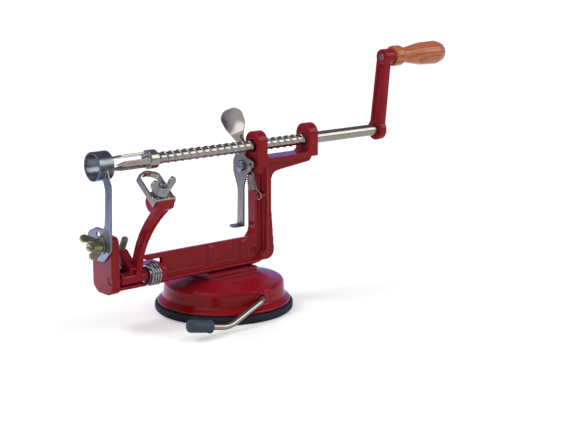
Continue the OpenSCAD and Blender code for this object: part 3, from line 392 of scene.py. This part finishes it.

# %% [markdown]
# The pad is moulded rubber, near black, and the tip of the lever is dipped vinyl. Both carry a painted
# blue cast, the tint of a cool light, and the tip is painted a little lighter, as a lit copy of the same
# black. A mould leaves a fine even grain and no shine, and dust greys it in patches. The grain is drawn
# 0.6 mm wide, coarser than it is, so that it shows.

# %% Moulded rubber and dipped vinyl
# Painted light: both rows carry a blue cast that is the painted tint of a cool light, and the second row is
# a lighter painted copy of the same black, as if lit more.
RUBBERS = (
    ("moulded_black_rubber", "#0E151D", "#1F2A36", 0.42, 0.66),
    ("dipped_black_vinyl", "#28333E", "#3C4A58", 0.34, 0.52),
)
rubbers = []
for name, dark, light, glossiest, dullest in RUBBERS:
    finish, tree, shader, place = new_finish(name)
    dust = add(tree, "ShaderNodeTexNoise", {"Vector": place, "Scale": repeats(7), "Detail": 4.0})[0]
    tone = add(tree, "ShaderNodeMix", {0: dust, 6: linear(dark), 7: linear(light)}, **RGBA)[2]
    grain = add(tree, "ShaderNodeTexNoise", {"Vector": place, "Scale": repeats(0.6), "Detail": 2.0})[0]
    gloss = add(tree, "ShaderNodeMapRange", {"Value": dust, "To Min": glossiest, "To Max": dullest})[0]
    fine = add(tree, "ShaderNodeBump", {"Height": grain, "Strength": 0.3, "Distance": 0.03 * MM})[0]
    shader.inputs["IOR"].default_value = 1.52
    shader.inputs["Specular IOR Level"].default_value = 0.3
    connect(tree, shader, tone, gloss, fine)
    rubbers.append(finish)
    print("made", name)
rubber, vinyl_painted_lighter = rubbers

# %% [markdown]
# The handle is turned hardwood, stained orange brown and lacquered. Its growth rings lie off to one side
# of the handle, so they show as long stripes, and short dark pores run along the grain, drawn a little
# wider than they are. Clear lacquer is a coat on top. A wave texture of scale one has a ring every 0.314
# units.

# %% Lacquered turned wood
RING_MM = 2.6
RING_AT_SCALE_ONE = 0.314
HEART_AT = (0.0, 0.031, -0.163)
wood, tree, shader, place = new_finish("turned_hardwood_stained_and_lacquered")
heart = add(tree, "ShaderNodeMapping", {"Vector": place, "Location": HEART_AT})[0]
growth = add(
    tree, "ShaderNodeTexWave",
    {
        "Vector": heart, "Scale": RING_AT_SCALE_ONE / (RING_MM * MM),
        "Distortion": 2.2, "Detail": 3.0, "Detail Scale": 0.25,
    },
    wave_type="RINGS", rings_direction="X", wave_profile="SAW",
)["Fac"]
early = add(tree, "ShaderNodeMix", {0: growth, 6: linear("#C46C36"), 7: linear("#96481E")}, **RGBA)[2]
pore_size = (repeats(7), repeats(0.45), repeats(0.45))
along = add(tree, "ShaderNodeMapping", {"Vector": place, "Scale": pore_size})[0]
pores = add(tree, "ShaderNodeTexNoise", {"Vector": along, "Scale": 1.0, "Detail": 2.0})[0]
pit_span = {"Value": pores, "From Min": 0.58, "From Max": 0.72, "To Max": 0.75}
pits = add(tree, "ShaderNodeMapRange", pit_span)[0]
stained = add(tree, "ShaderNodeMix", {0: pits, 6: early, 7: linear("#5C2A12")}, **RGBA)[2]
pitted = {"Height": pores, "Strength": 0.3, "Distance": 0.04 * MM}
fine = add(tree, "ShaderNodeBump", pitted, invert=True)[0]
gloss = add(tree, "ShaderNodeMapRange", {"Value": pores, "To Min": 0.34, "To Max": 0.5})[0]
shader.inputs["IOR"].default_value = 1.5
shader.inputs["Coat Weight"].default_value = 0.6
shader.inputs["Coat Roughness"].default_value = 0.12
connect(tree, shader, stained, gloss, fine)
print("made", wood.name, "with rings", RING_MM, "mm apart")

# %% [markdown]
# Every piece is finished the same way: its mesh becomes an object with smooth shading, creases stay where
# faces meet steeply, and it takes the place of its CAD node on the same moving body.

# %% Put a piece in place
def dress(name, mesh, node, finish, crease=38):
    piece = bpy.data.objects.new(name, mesh)
    scene.collection.objects.link(piece)
    mesh.materials.clear()
    mesh.materials.append(finish)
    mesh.shade_smooth()
    mesh.set_sharp_from_angle(angle=math.radians(crease))
    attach(piece, frame["nodes"][node]["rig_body"])
    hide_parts(node)


print("the packed part has", len(frame["nodes"]), "nodes to dress")

# %% [markdown]
# Sand castings have no sharp corners. A bevel on a CAD mesh breaks on its long thin triangles, so the
# solid is wrapped in a new even skin instead: a voxel remesh, a little smoothing, which rounds each edge
# by about one voxel, and then a collapse of the faces that flat areas don't need. The same skin suits
# punched sheet with its rolled edges.

# %% Cast skins
def cast_skin(node, voxel_mm, passes, keep):
    blank = bpy.data.objects.new("blank", frame["nodes"][node].data.copy())
    scene.collection.objects.link(blank)
    bm = bmesh.new()
    bm.from_mesh(blank.data)
    bmesh.ops.remove_doubles(bm, verts=bm.verts, dist=0.001 * MM)
    bm.to_mesh(blank.data)
    bm.free()
    wrap = blank.modifiers.new("wrap", "REMESH")
    wrap.mode = "VOXEL"
    wrap.voxel_size = voxel_mm * MM
    soften = blank.modifiers.new("soften", "SMOOTH")
    soften.factor = 0.5
    soften.iterations = passes
    thin = blank.modifiers.new("thin", "DECIMATE")
    thin.ratio = keep
    skin = bpy.data.meshes.new_from_object(blank.evaluated_get(bpy.context.evaluated_depsgraph_get()))
    bpy.data.objects.remove(blank)
    return skin


CAST_CREASE = 60
for name, node, voxel_mm, passes, keep in (
    ("enamelled_frame", "frame_casting", 0.5, 5, 0.3),
    ("enamelled_base", "base_casting", 0.55, 5, 0.35),
    ("enamelled_crank", "crank_arm", 0.35, 4, 0.35),
    ("enamelled_peeling_arm", "peeling_arm", 0.35, 5, 0.35),
):
    dress(name, cast_skin(node, voxel_mm, passes, keep), node, enamel, CAST_CREASE)

# %% [markdown]
# The wing nuts, the fork, the slicer and the blade stirrup are made the same way with a finer skin,
# because they are only a few millimetres thick. The hidden yoke, cam and screws follow too.

# %% Fine skins
SHEET_CREASE = 50
for name, node, voxel_mm, passes, keep, finish, slot in (
    ("holding_fork", "fork", 0.25, 3, 0.4, nickel, "nickel_steel"),
    ("blade_stirrup", "peeling_blade", 0.2, 3, 0.45, nickel, "nickel_steel"),
    ("blade_wings", "blade_wing_nut", 0.22, 4, 0.5, screw_zinc, "plated_screws"),
    ("slicer_wings", "slicer_wing_nut", 0.22, 4, 0.5, yellow_zinc, "yellow_zinc"),
    ("slicer_and_coring_ring", "slicer_blade", 0.25, 3, 0.35, sheet_zinc, "zinc_plate"),
    ("suction_yoke", "pull_stud", 0.35, 3, 0.4, screw_zinc, "plated_screws"),
    ("suction_cam", "lever_cam", 0.25, 3, 0.4, screw_zinc, "plated_screws"),
    ("foot_screws", "base_screws", 0.25, 3, 0.4, screw_zinc, "plated_screws"),
    ("hub_grub_screw", "crank_set_screw", 0.15, 2, 0.5, screw_zinc, "plated_screws"),
):
    dress(name, cast_skin(node, voxel_mm, passes, keep), node, finish, SHEET_CREASE)

# %% [markdown]
# The release lever is sheet steel whose thumb end is dished like a spoon. Its CAD plate is flat there, so
# after the skin is made, the points of the paddle are pushed along its normal, most along its middle line
# and not at all at its rim. The local frame of the paddle comes from the same three turns as in the CAD
# source. As there, places along X count from a point that lies 1.2 mm from the axis of the foot, on the
# side of the fork.

# %% Release lever with its dished paddle
FOOT_X = 1.2
PAWL_X = 26.6
DISH_MM = 1.7
DISH_STARTS, DISH_MIDDLE, DISH_HALF_LENGTH, DISH_HALF_WIDTH = 4, 15, 11.0, 9.0
PADDLE_HALF_WIDTH, PADDLE_REACH = 10, 2
lever_mesh = cast_skin("release_lever", 0.28, 3, 0.45)
paddle = Matrix.Translation(Vector((PAWL_X - FOOT_X, 11.2, 125.4)) * MM)
for degrees, axis in ((-36, "X"), (-38, "Z"), (90, "X")):
    paddle = paddle @ Matrix.Rotation(math.radians(degrees), 4, axis)
flat = paddle.inverted()
moved = 0
for vertex in lever_mesh.vertices:
    u, v, n = flat @ vertex.co / MM
    if v > DISH_STARTS and abs(u) < PADDLE_HALF_WIDTH and abs(n) < PADDLE_REACH:
        across_dish = max(0.0, 1 - (u / DISH_HALF_WIDTH) ** 2)
        along_dish = max(0.0, 1 - ((v - DISH_MIDDLE) / DISH_HALF_LENGTH) ** 2)
        vertex.co = paddle @ (Vector((u, v, n - DISH_MM * across_dish * along_dish)) * MM)
        moved += 1
dress("release_lever_with_spoon", lever_mesh, "release_lever", lever_nickel, SHEET_CREASE)
print("dished", moved, "points of the paddle")

# %% [markdown]
# Turned, drawn and wound pieces are all rings of points joined into a skin: circles along a straight axis
# make a pin, circles along a bent line make a wire, and rings that aren't quite round, turned a little
# each step, make a thread. So one function joins rings, and each kind of piece only has to say where its
# rings are.

# %% Rings into a skin
def joined(rings, loop=False):
    mesh = bpy.data.meshes.new("piece")
    bm = bmesh.new()
    rows = [[bm.verts.new(point * MM) for point in ring] for ring in rings]
    for a, b in list(zip(rows, rows[1:])) + ([(rows[-1], rows[0])] if loop else []):
        for k in range(len(a)):
            bm.faces.new((a[k - 1], a[k], b[k], b[k - 1]))
    if not loop:
        bm.faces.new(rows[0])
        bm.faces.new(list(reversed(rows[-1])))
    bmesh.ops.remove_doubles(bm, verts=bm.verts, dist=0.0005 * MM)
    bmesh.ops.recalc_face_normals(bm, faces=bm.faces)
    bm.to_mesh(mesh)
    bm.free()
    return mesh


# %% [markdown]
# A lathe profile is a list of corners: a place along the axis, a radius and the round that the tool
# leaves there. Rounding the corners in the profile gives the edge a real highlight, which a sharp corner
# never has.

# %% Lathe helpers
def rounded(corners, loop=True, steps=8):
    points = []
    count = len(corners)
    for i, (x, y, r) in enumerate(corners):
        here = Vector((x, y))
        if r == 0 or (not loop and i in (0, count - 1)):
            points.append(here)
            continue
        before = (Vector(corners[i - 1][:2]) - here).normalized()
        after = (Vector(corners[(i + 1) % count][:2]) - here).normalized()
        half = before.angle(after) / 2
        middle = here + (before + after).normalized() * (r / math.sin(half))
        start = here + before * (r / math.tan(half)) - middle
        turn = start.angle_signed(here + after * (r / math.tan(half)) - middle)
        points += [middle + Matrix.Rotation(-turn * k / steps, 2) @ start for k in range(steps + 1)]
    return points


def turned(corners, axis, sides=56, loop=False):
    rings = []
    angles = [math.tau * k / sides for k in range(sides)]
    for along_axis, radius in rounded(corners, loop):
        ring = [(radius * math.cos(a), radius * math.sin(a)) for a in angles]
        rings.append([axis @ Vector((x, y, along_axis)) for x, y in ring])
    return joined(rings, loop)


def lying(y, z):
    return Matrix.Translation((-FOOT_X, y, z)) @ Matrix.Rotation(math.radians(90), 4, "Y")


def pin(x0, x1, d, chamfer=0.4):
    r = d / 2
    return [(x0, 0, 0), (x0, r, chamfer), (x1, r, chamfer), (x1, 0, 0)]


def ring_of(x0, x1, d, bore, chamfer=0.25):
    return [(x0, bore / 2, 0), (x0, d / 2, chamfer), (x1, d / 2, chamfer), (x1, bore / 2, 0)]


# %% [markdown]
# Most turned pieces lie along one of four axes: the shaft, the pin of the peeling arm, the bolt of the
# slicer and the screw of the handle. The pin was enamelled together with the bracket, and the rest is
# zinc plated. A profile that closes on itself leaves a bore.

# %% Pins, washers and rivet
SHAFT_Z, SLICER_Z, AXLE_Z = 120, 64, 16.5
PIN_Y, PIN_Z = -8.4, 39.0
GRIP_Y, GRIP_Z = -7.03, 178.98
shaft_axis, pin_axis = lying(0, SHAFT_Z), lying(PIN_Y, PIN_Z)
bolt_axis, grip_axis = lying(0, SLICER_Z), lying(GRIP_Y, GRIP_Z)
clip_axis = Matrix.Translation((0, 0, AXLE_Z)) @ Matrix.Rotation(math.radians(-90), 4, "X")
fork_head = [
    (-67.6, 0, 0), (-67.6, 2.7, 0.9), (-66.12, 2.7, 0.2),
    (-66.12, 1.5, 0), (-55, 1.5, 0.3), (-55, 0, 0),
]
dress("arm_pin", turned(pin(-104.0, -58.4, 4.6), pin_axis), "arm_pivot_pin", enamel)
for name, node, profile, axis, sides, loop in (
    ("spring_sleeve", "spring_bush", ring_of(-74.3, -64.1, 11.55, 4.7), pin_axis, 56, True),
    ("washer_of_slicer", "slicer_washer", ring_of(-107.1, -106.1, 13.2, 6.1), bolt_axis, 56, True),
    ("washer_of_handle", "handle_washer", ring_of(164.6, 165.4, 11, 5.1), grip_axis, 56, True),
    ("rivet_of_fork", "fork_rivet", fork_head, shaft_axis, 40, False),
    ("clip_on_axle", "axle_clip", ring_of(16.8, 18.2, 9, 4.6), clip_axis, 56, True),
):
    dress(name, turned(profile, axis, sides, loop), node, screw_zinc)

# %% [markdown]
# The pad is a thick moulded disc. Its rim bulges, and a shallow line runs round it where the two halves
# of the mould met. It lies flat on the floor, as the CAD pad does. The tip of the lever is turned about
# the last stretch of its rod.

# %% Suction pad and lever tip
upright = Matrix.Identity(4)
pad_profile = [
    (0, 0, 0), (0, 50.6, 0.7), (1.4, 51.9, 0.8), (2.9, 52.0, 0.1), (3.1, 51.75, 0.05), (3.3, 52.0, 0.1),
    (5.2, 51.9, 0.8), (6.0, 50.9, 0.4), (6.0, 0, 0),
]
dress("moulded_pad", turned(pad_profile, upright, 120), "suction_pad", rubber)
rod_bend, rod_end = Vector((-37.8, -55.5, 3.9)), Vector((-71.6, -55.5, 11.1))
tip_axis = Matrix.Translation(rod_end) @ (rod_end - rod_bend).to_track_quat("Z", "Y").to_matrix().to_4x4()
tip_profile = [
    (1.6, 0, 0), (1.6, 4.7, 2.8), (-16.2, 4.3, 0.4), (-16.6, 4.75, 0.3),
    (-18.4, 4.75, 0.6), (-18.4, 2.3, 0), (0, 2.3, 0), (0, 0, 0),
]
dress("lever_tip", turned(tip_profile, tip_axis, 48), "lever_grip", vinyl_painted_lighter)

# %% [markdown]
# The handle is turned between centres: a collar against the crank, a slim neck, a long swell for the palm
# and a round end with a hole for the head of its screw. The profile closes on itself, so the bore is
# real.

# %% Turned handle
GRIP_X = 165.6
GRIP_BORE_R, HEAD_BORE_R = 2.55, 4.7
grip_profile = [
    (GRIP_X, GRIP_BORE_R, 0), (GRIP_X, 8.2, 1.6), (GRIP_X + 8.4, 8.2, 2.4), (GRIP_X + 10, 6.1, 1.6),
    (GRIP_X + 15, 6.3, 14), (GRIP_X + 31.36, 9.1, 22), (GRIP_X + 48.16, 9.6, 9), (GRIP_X + 56, 6.984, 4),
    (GRIP_X + 56, HEAD_BORE_R, 0.5), (GRIP_X + 51.3, HEAD_BORE_R, 0), (GRIP_X + 51.3, GRIP_BORE_R, 0),
]
dress("turned_handle", turned(grip_profile, grip_axis, 72, loop=True), "handle", wood, 45)

# %% [markdown]
# The bent rod of the suction lever runs out of the foot, down and forward, and turns up at the tip. A rod
# is bent round a former, so each corner becomes an arc. The wire springs below need the same tube, so its
# rings are carried along the line without twisting, each frame turned by as little as the line turns.

# %% Bent suction rod
def bent(corners, reach, steps=12):
    points = [corners[0]]
    for before, here, after in zip(corners, corners[1:], corners[2:]):
        start = here + (before - here).normalized() * reach
        end = here + (after - here).normalized() * reach
        for k in range(steps + 1):
            t = k / steps
            points.append((1 - t) ** 2 * start + 2 * t * (1 - t) * here + t * t * end)
    return points + [corners[-1]]


def tube(line, d, sides=16):
    rings = []
    spoke = None
    angles = [math.tau * k / sides for k in range(sides)]
    for i, point in enumerate(line):
        ahead = (line[min(i + 1, len(line) - 1)] - line[max(i - 1, 0)]).normalized()
        spoke = ahead.orthogonal() if spoke is None else spoke - ahead * spoke.dot(ahead)
        spoke.normalize()
        other = ahead.cross(spoke)
        rings.append([point + (spoke * math.cos(a) + other * math.sin(a)) * d / 2 for a in angles])
    return joined(rings)


ROD_D, BEND_REACH = 4.5, 7.0
rod_line = bent([Vector((0, 20, AXLE_Z)), Vector((0, -49, AXLE_Z)), rod_bend, rod_end], BEND_REACH)
dress("bent_rod", tube(rod_line, ROD_D, 24), "suction_lever", nickel)

# %% [markdown]
# The feed shaft is the heart of the tool: one right hand ridge every 6.35 mm pushes it forward a slice
# for each turn. Rings that follow the ridge keep its edges crisp with few faces. Towards the crank the
# groove runs out, as it does when a cutter is drawn back, and the plain end is as thick as the crests.

# %% Feed shaft
PITCH, SHAFT_R, CORE_R, CREST_R, NOSE_R = 6.35, 4.6, 4.02, 4.58, 3.4
THREAD_FROM, THREAD_TO, SHAFT_TO = -57.6, 79.4, 163.0
RINGS_PER_TURN, LEAD_IN, RUN_OUT = 28, 2.5, 4
flank = [(14, 1.0), (20, 0.9), (47, 0.12), (52, 0.0)]
ridge = [(-a, share) for a, share in reversed(flank)] + [(0, 1.0)] + flank
ridge += [(a, 0.0) for a in range(66, 300, 18)]


def shaft_ring(x, core, height, turned_at=None):
    turn = 180 + 360 * ((x if turned_at is None else turned_at) - PAWL_X) / PITCH
    ring = []
    for angle, share in ridge:
        a = math.radians(angle + turn)
        r = core + height * share
        ring.append(Vector((x - FOOT_X, r * math.cos(a), SHAFT_Z + r * math.sin(a))))
    return ring


ring_count = int((THREAD_TO - THREAD_FROM) / PITCH * RINGS_PER_TURN) + 1
stations = [THREAD_FROM + k * PITCH / RINGS_PER_TURN for k in range(ring_count)]
nose = ((-61.0, NOSE_R - 0.3), (-60.7, NOSE_R), (THREAD_FROM - 0.01, NOSE_R))
rings = [shaft_ring(x, r, 0, THREAD_FROM) for x, r in nose]
for x in stations:
    risen = min(1.0, (x - THREAD_FROM) / LEAD_IN)
    run_out = min(1.0, max(0.0, (x - THREAD_TO + RUN_OUT) / RUN_OUT))
    core = CORE_R + (SHAFT_R - CORE_R) * run_out
    rings.append(shaft_ring(x, core, max(0.0, CREST_R - core) * risen))
plain = ((THREAD_TO + 0.3, SHAFT_R), (SHAFT_TO - 0.6, SHAFT_R), (SHAFT_TO, SHAFT_R - 0.6))
rings += [shaft_ring(x, r, 0, stations[-1]) for x, r in plain]
dress("threaded_shaft", joined(rings), "feed_shaft", nickel, 40)

# %% [markdown]
# Machine screws have a fine thread, here drawn as plain grooves, since nobody can see their lead at this
# size, and coarser than it is where it would not show. A slot is cut across the end with a thin block and
# a boolean.

# %% Grooves and slots
SLOT_MM = 1.0


def grooved(x0, x1, r, pitch, depth, crest=0.25):
    corners = []
    for k in range(int((x1 - x0) / pitch)):
        x = x0 + k * pitch
        corners += [(x + pitch * share, r, 0) for share in (0, crest)]
        corners += [(x + pitch * share, r - depth, 0) for share in (0.55, 0.7 + crest / 5)]
    return corners + [(x1, r, 0)]


def slotted(mesh, axis, x0, x1):
    piece = bpy.data.objects.new("screw", mesh)
    block = bpy.data.meshes.new("saw")
    bm = bmesh.new()
    bmesh.ops.create_cube(bm, size=1.0)
    bmesh.ops.scale(bm, vec=Vector((SLOT_MM, 20.0, x1 - x0)) * MM, verts=bm.verts)
    bmesh.ops.translate(bm, vec=Vector((0, 0, (x0 + x1) / 2)) * MM, verts=bm.verts)
    placed = axis.copy()
    placed.translation = axis.translation * MM
    bmesh.ops.transform(bm, matrix=placed, verts=bm.verts)
    bm.to_mesh(block)
    bm.free()
    saw = bpy.data.objects.new("saw", block)
    for obj in (piece, saw):
        scene.collection.objects.link(obj)
    cut = piece.modifiers.new("slot", "BOOLEAN")
    cut.operation = "DIFFERENCE"
    cut.solver = "EXACT"
    cut.object = saw
    result = bpy.data.meshes.new_from_object(piece.evaluated_get(bpy.context.evaluated_depsgraph_get()))
    for obj in (piece, saw):
        bpy.data.objects.remove(obj)
    return result


# %% [markdown]
# The stop screw and the screw of the blade stand on the peeling arm, which leans, so they have axes of
# their own. The arm was enamelled with its blade screw in place, so the head of that screw is red.

# %% Screws on the peeling arm
SCREW_CREASE = 30
HEAD_ENDS = -7.9
stop_axis = Matrix.Translation((-86.1 - FOOT_X, 6, 54)) @ Matrix.Rotation(math.radians(29), 4, "X")
stop_profile = [(-5.8, 0, 0), (-5.8, 1.6, 0), (-5.0, 2.2, 0)]
stop_profile += grooved(-4.8, 13.4, 2.5, 2.2, 0.9, 0.4) + [(14.2, 2.0, 0), (14.2, 0, 0)]
saw_axis = stop_axis @ Matrix.Rotation(math.radians(90), 4, "Z")
stop_mesh = slotted(turned(stop_profile, stop_axis, 40), saw_axis, 12.8, 16)
dress("slotted_stop_screw", stop_mesh, "stop_screw", phosphate, SCREW_CREASE)
seat_axis = Matrix.Translation((-88.6 - FOOT_X, -49.6, 104.4)) @ Matrix.Rotation(math.radians(20), 4, "X")
blade_profile = [(-11.1, 0, 0), (-11.1, 4.5, 0.8), (-8.1, 4.5, 0.3), (-8.1, 2.5, 0), (1.4, 2.5, 0)]
blade_profile += grooved(1.8, 9.4, 2.48, 0.8, 0.34) + [(10.3, 1.9, 0), (10.3, 0, 0)]
blade_mesh = turned(blade_profile, seat_axis, 40)
dress("screw_of_blade", blade_mesh, "blade_screw", screw_zinc, SCREW_CREASE)
blade_mesh.materials.append(enamel)
from_seat = seat_axis.inverted()
for face in blade_mesh.polygons:
    face.material_index = int((from_seat @ (face.center / MM)).z < HEAD_ENDS)

# %% [markdown]
# The bolt of the slicer, the pivot of the release lever and the screw of the handle lie along X and are
# slotted at one end.

# %% Bolt, pivot and handle screw
bolt_profile = [(-116.7, 0, 0), (-116.7, 2.4, 0), (-115.9, 2.98, 0)]
bolt_profile += grooved(-115.7, -107.2, 2.98, 1.0, 0.42)
bolt_profile += [(-97.6, 3.0, 0), (-97.6, 5.7, 0.4), (-95.2, 5.7, 0.8), (-95.2, 0, 0)]
stud_axis = lying(8.6, 104)
stud_profile = [
    (22.9, 0, 0), (22.9, 4.2, 0.7), (25.7, 4.2, 0.3),
    (25.7, 2.5, 0), (33.9, 2.5, 0.4), (33.9, 0, 0),
]
grip_screw = [
    (154.7, 0, 0), (154.7, 2.5, 0.3), (217, 2.5, 0),
    (217, 4.3, 0.3), (220, 4.3, 0.8), (220, 0, 0),
]
for name, node, profile, axis, x0, x1, finish, slot in (
    ("bolt_of_slicer", "slicer_bolt", bolt_profile, bolt_axis, -118, -115.5, yellow_zinc, "yellow_zinc"),
    ("pivot_screw_of_lever", "lever_stud", stud_profile, stud_axis, 21.5, 23.9, screw_zinc, "plated_screws"),
    ("screw_of_handle", "handle_screw", grip_screw, grip_axis, 218.8, 222, screw_zinc, "plated_screws"),
):
    dress(name, slotted(turned(profile, axis, 48), axis, x0, x1), node, finish, SCREW_CREASE)

# %% [markdown]
# Two springs are wound from bright wire. Each line keeps the ends and the radius of its CAD solid, and a
# smooth curve through its points gives the wire its round turns. A spring belongs to two bodies at once:
# one end stays with the frame and the other follows what it pulls, so it stays where it is wound and
# rides on neither body.

# %% Winding helpers
def smoothed(points, steps=6):
    line = []
    last = len(points) - 1
    for i in range(last):
        p0, p1, p2, p3 = (points[max(i - 1, 0)], points[i], points[i + 1], points[min(i + 2, last)])
        slope = p2 - p0
        bend = 2 * p0 - 5 * p1 + 4 * p2 - p3
        swing = 3 * p1 - p0 - 3 * p2 + p3
        for k in range(steps):
            t = k / steps
            line.append(0.5 * (2 * p1 + slope * t + bend * t ** 2 + swing * t ** 3))
    return line + [points[-1]]


def wind(name, points, wire_d, node):
    shift = Vector((-FOOT_X, 0, 0))
    line = smoothed([point + shift for point in points])
    piece = bpy.data.objects.new(name, tube(line, wire_d, 14))
    scene.collection.objects.link(piece)
    piece.data.materials.append(wire_steel)
    piece.data.shade_smooth()
    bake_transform(piece)
    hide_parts(node)
    print(name, "is", round(sum((b - a).length for a, b in zip(line, line[1:]))), "mm of wire")


# %% [markdown]
# The pull spring hangs between a peg on the post and a hole in the release lever, with an eye bent round
# the peg and an open hook at the hole. Its points are laid out along the pull: the eye, a step in to the
# coil, the turns, and the hook, which lies across the eye.

# %% Pull spring
PULL_WIRE, LOOP_R, NECK, COIL_R, TURNS = 0.8, 2.9, 5.1, 3.4, 7
PEG_R, PEG_GAP, BLEND_REACH = 1.7, 0.3, 4
peg, hook = Vector((28, -9.2, 83.2)), Vector((PAWL_X, -1.4, 106.6))
pull = (hook - peg).normalized()
side_x = (Vector((1, 0, 0)) - pull * pull.x).normalized()
side_y = pull.cross(side_x)
eye_low = LOOP_R * math.cos(math.radians(22.5))
foot_of_coil = peg + pull * (NECK + eye_low - PULL_WIRE / 2 - PEG_R - PEG_GAP)
tall = (hook - foot_of_coil).length - NECK - LOOP_R
eye_angles = [math.radians(160 + 45 * k) for k in range(7)]
eye = [(LOOP_R * math.cos(a), LOOP_R * math.sin(a)) for a in eye_angles]
local = [(0, x, y - NECK) for x, y in reversed(eye)] + [(0, -1.2, -1.9), (0, -0.2, -1)]
for k in range(TURNS * 8 + 1):
    a = math.radians(45 * k)
    local.append((COIL_R * (math.cos(a) - 1), COIL_R * math.sin(a), tall * k / (TURNS * 8)))
local += [(-0.2, 0, tall + 1), (-1.2, 0, tall + 1.9)] + [(x, 0, tall + NECK - y) for x, y in eye[:4]]
pull_line = [foot_of_coil + side_x * x + side_y * y + pull * z for x, y, z in local]
wind("pull_spring", pull_line, PULL_WIRE, "lever_spring")

# %% [markdown]
# The torsion spring is wound round the pin of the peeling arm. One leg reaches the side of the arm and
# presses it in, and the other stands up under the bed.

# %% Torsion spring
TWIST_WIRE, WIND_R, ARM_X = 1.7, 7.5, -80.6
LEG_Y, LEG_BEND_Z, LEG_TOP_Z = -3, 46.1, 48.1
COIL_FROM, COIL_TO, TWIST_STEPS = -72.95, -65.25, 28
top = PIN_Z + WIND_R * 0.9
arm_side = PIN_Y - 4.4
twist_line = [
    (ARM_X + 0.4, arm_side, top + 1.5), (ARM_X + 2.2, arm_side, top + 1.5),
    (ARM_X + 3.6, arm_side - 0.4, top + 1.3),
    (COIL_FROM - 1.3, arm_side - 2, top), (COIL_FROM - 0.2, PIN_Y - WIND_R, top - 2.4),
]
for k in range(TWIST_STEPS + 1):
    a = math.radians(180 + 45 * k)
    x = COIL_FROM + (COIL_TO - COIL_FROM) * k / TWIST_STEPS
    twist_line.append((x, PIN_Y + WIND_R * math.cos(a), PIN_Z + WIND_R * math.sin(a)))
twist_line += [(COIL_TO, PIN_Y + WIND_R - 0.4, PIN_Z + 3)]
twist_line += [(COIL_TO, LEG_Y, z) for z in (LEG_BEND_Z, LEG_TOP_Z)]
twist_points = [Vector(p) for p in twist_line]
wind("twist_spring", twist_points, TWIST_WIRE, "torsion_spring")
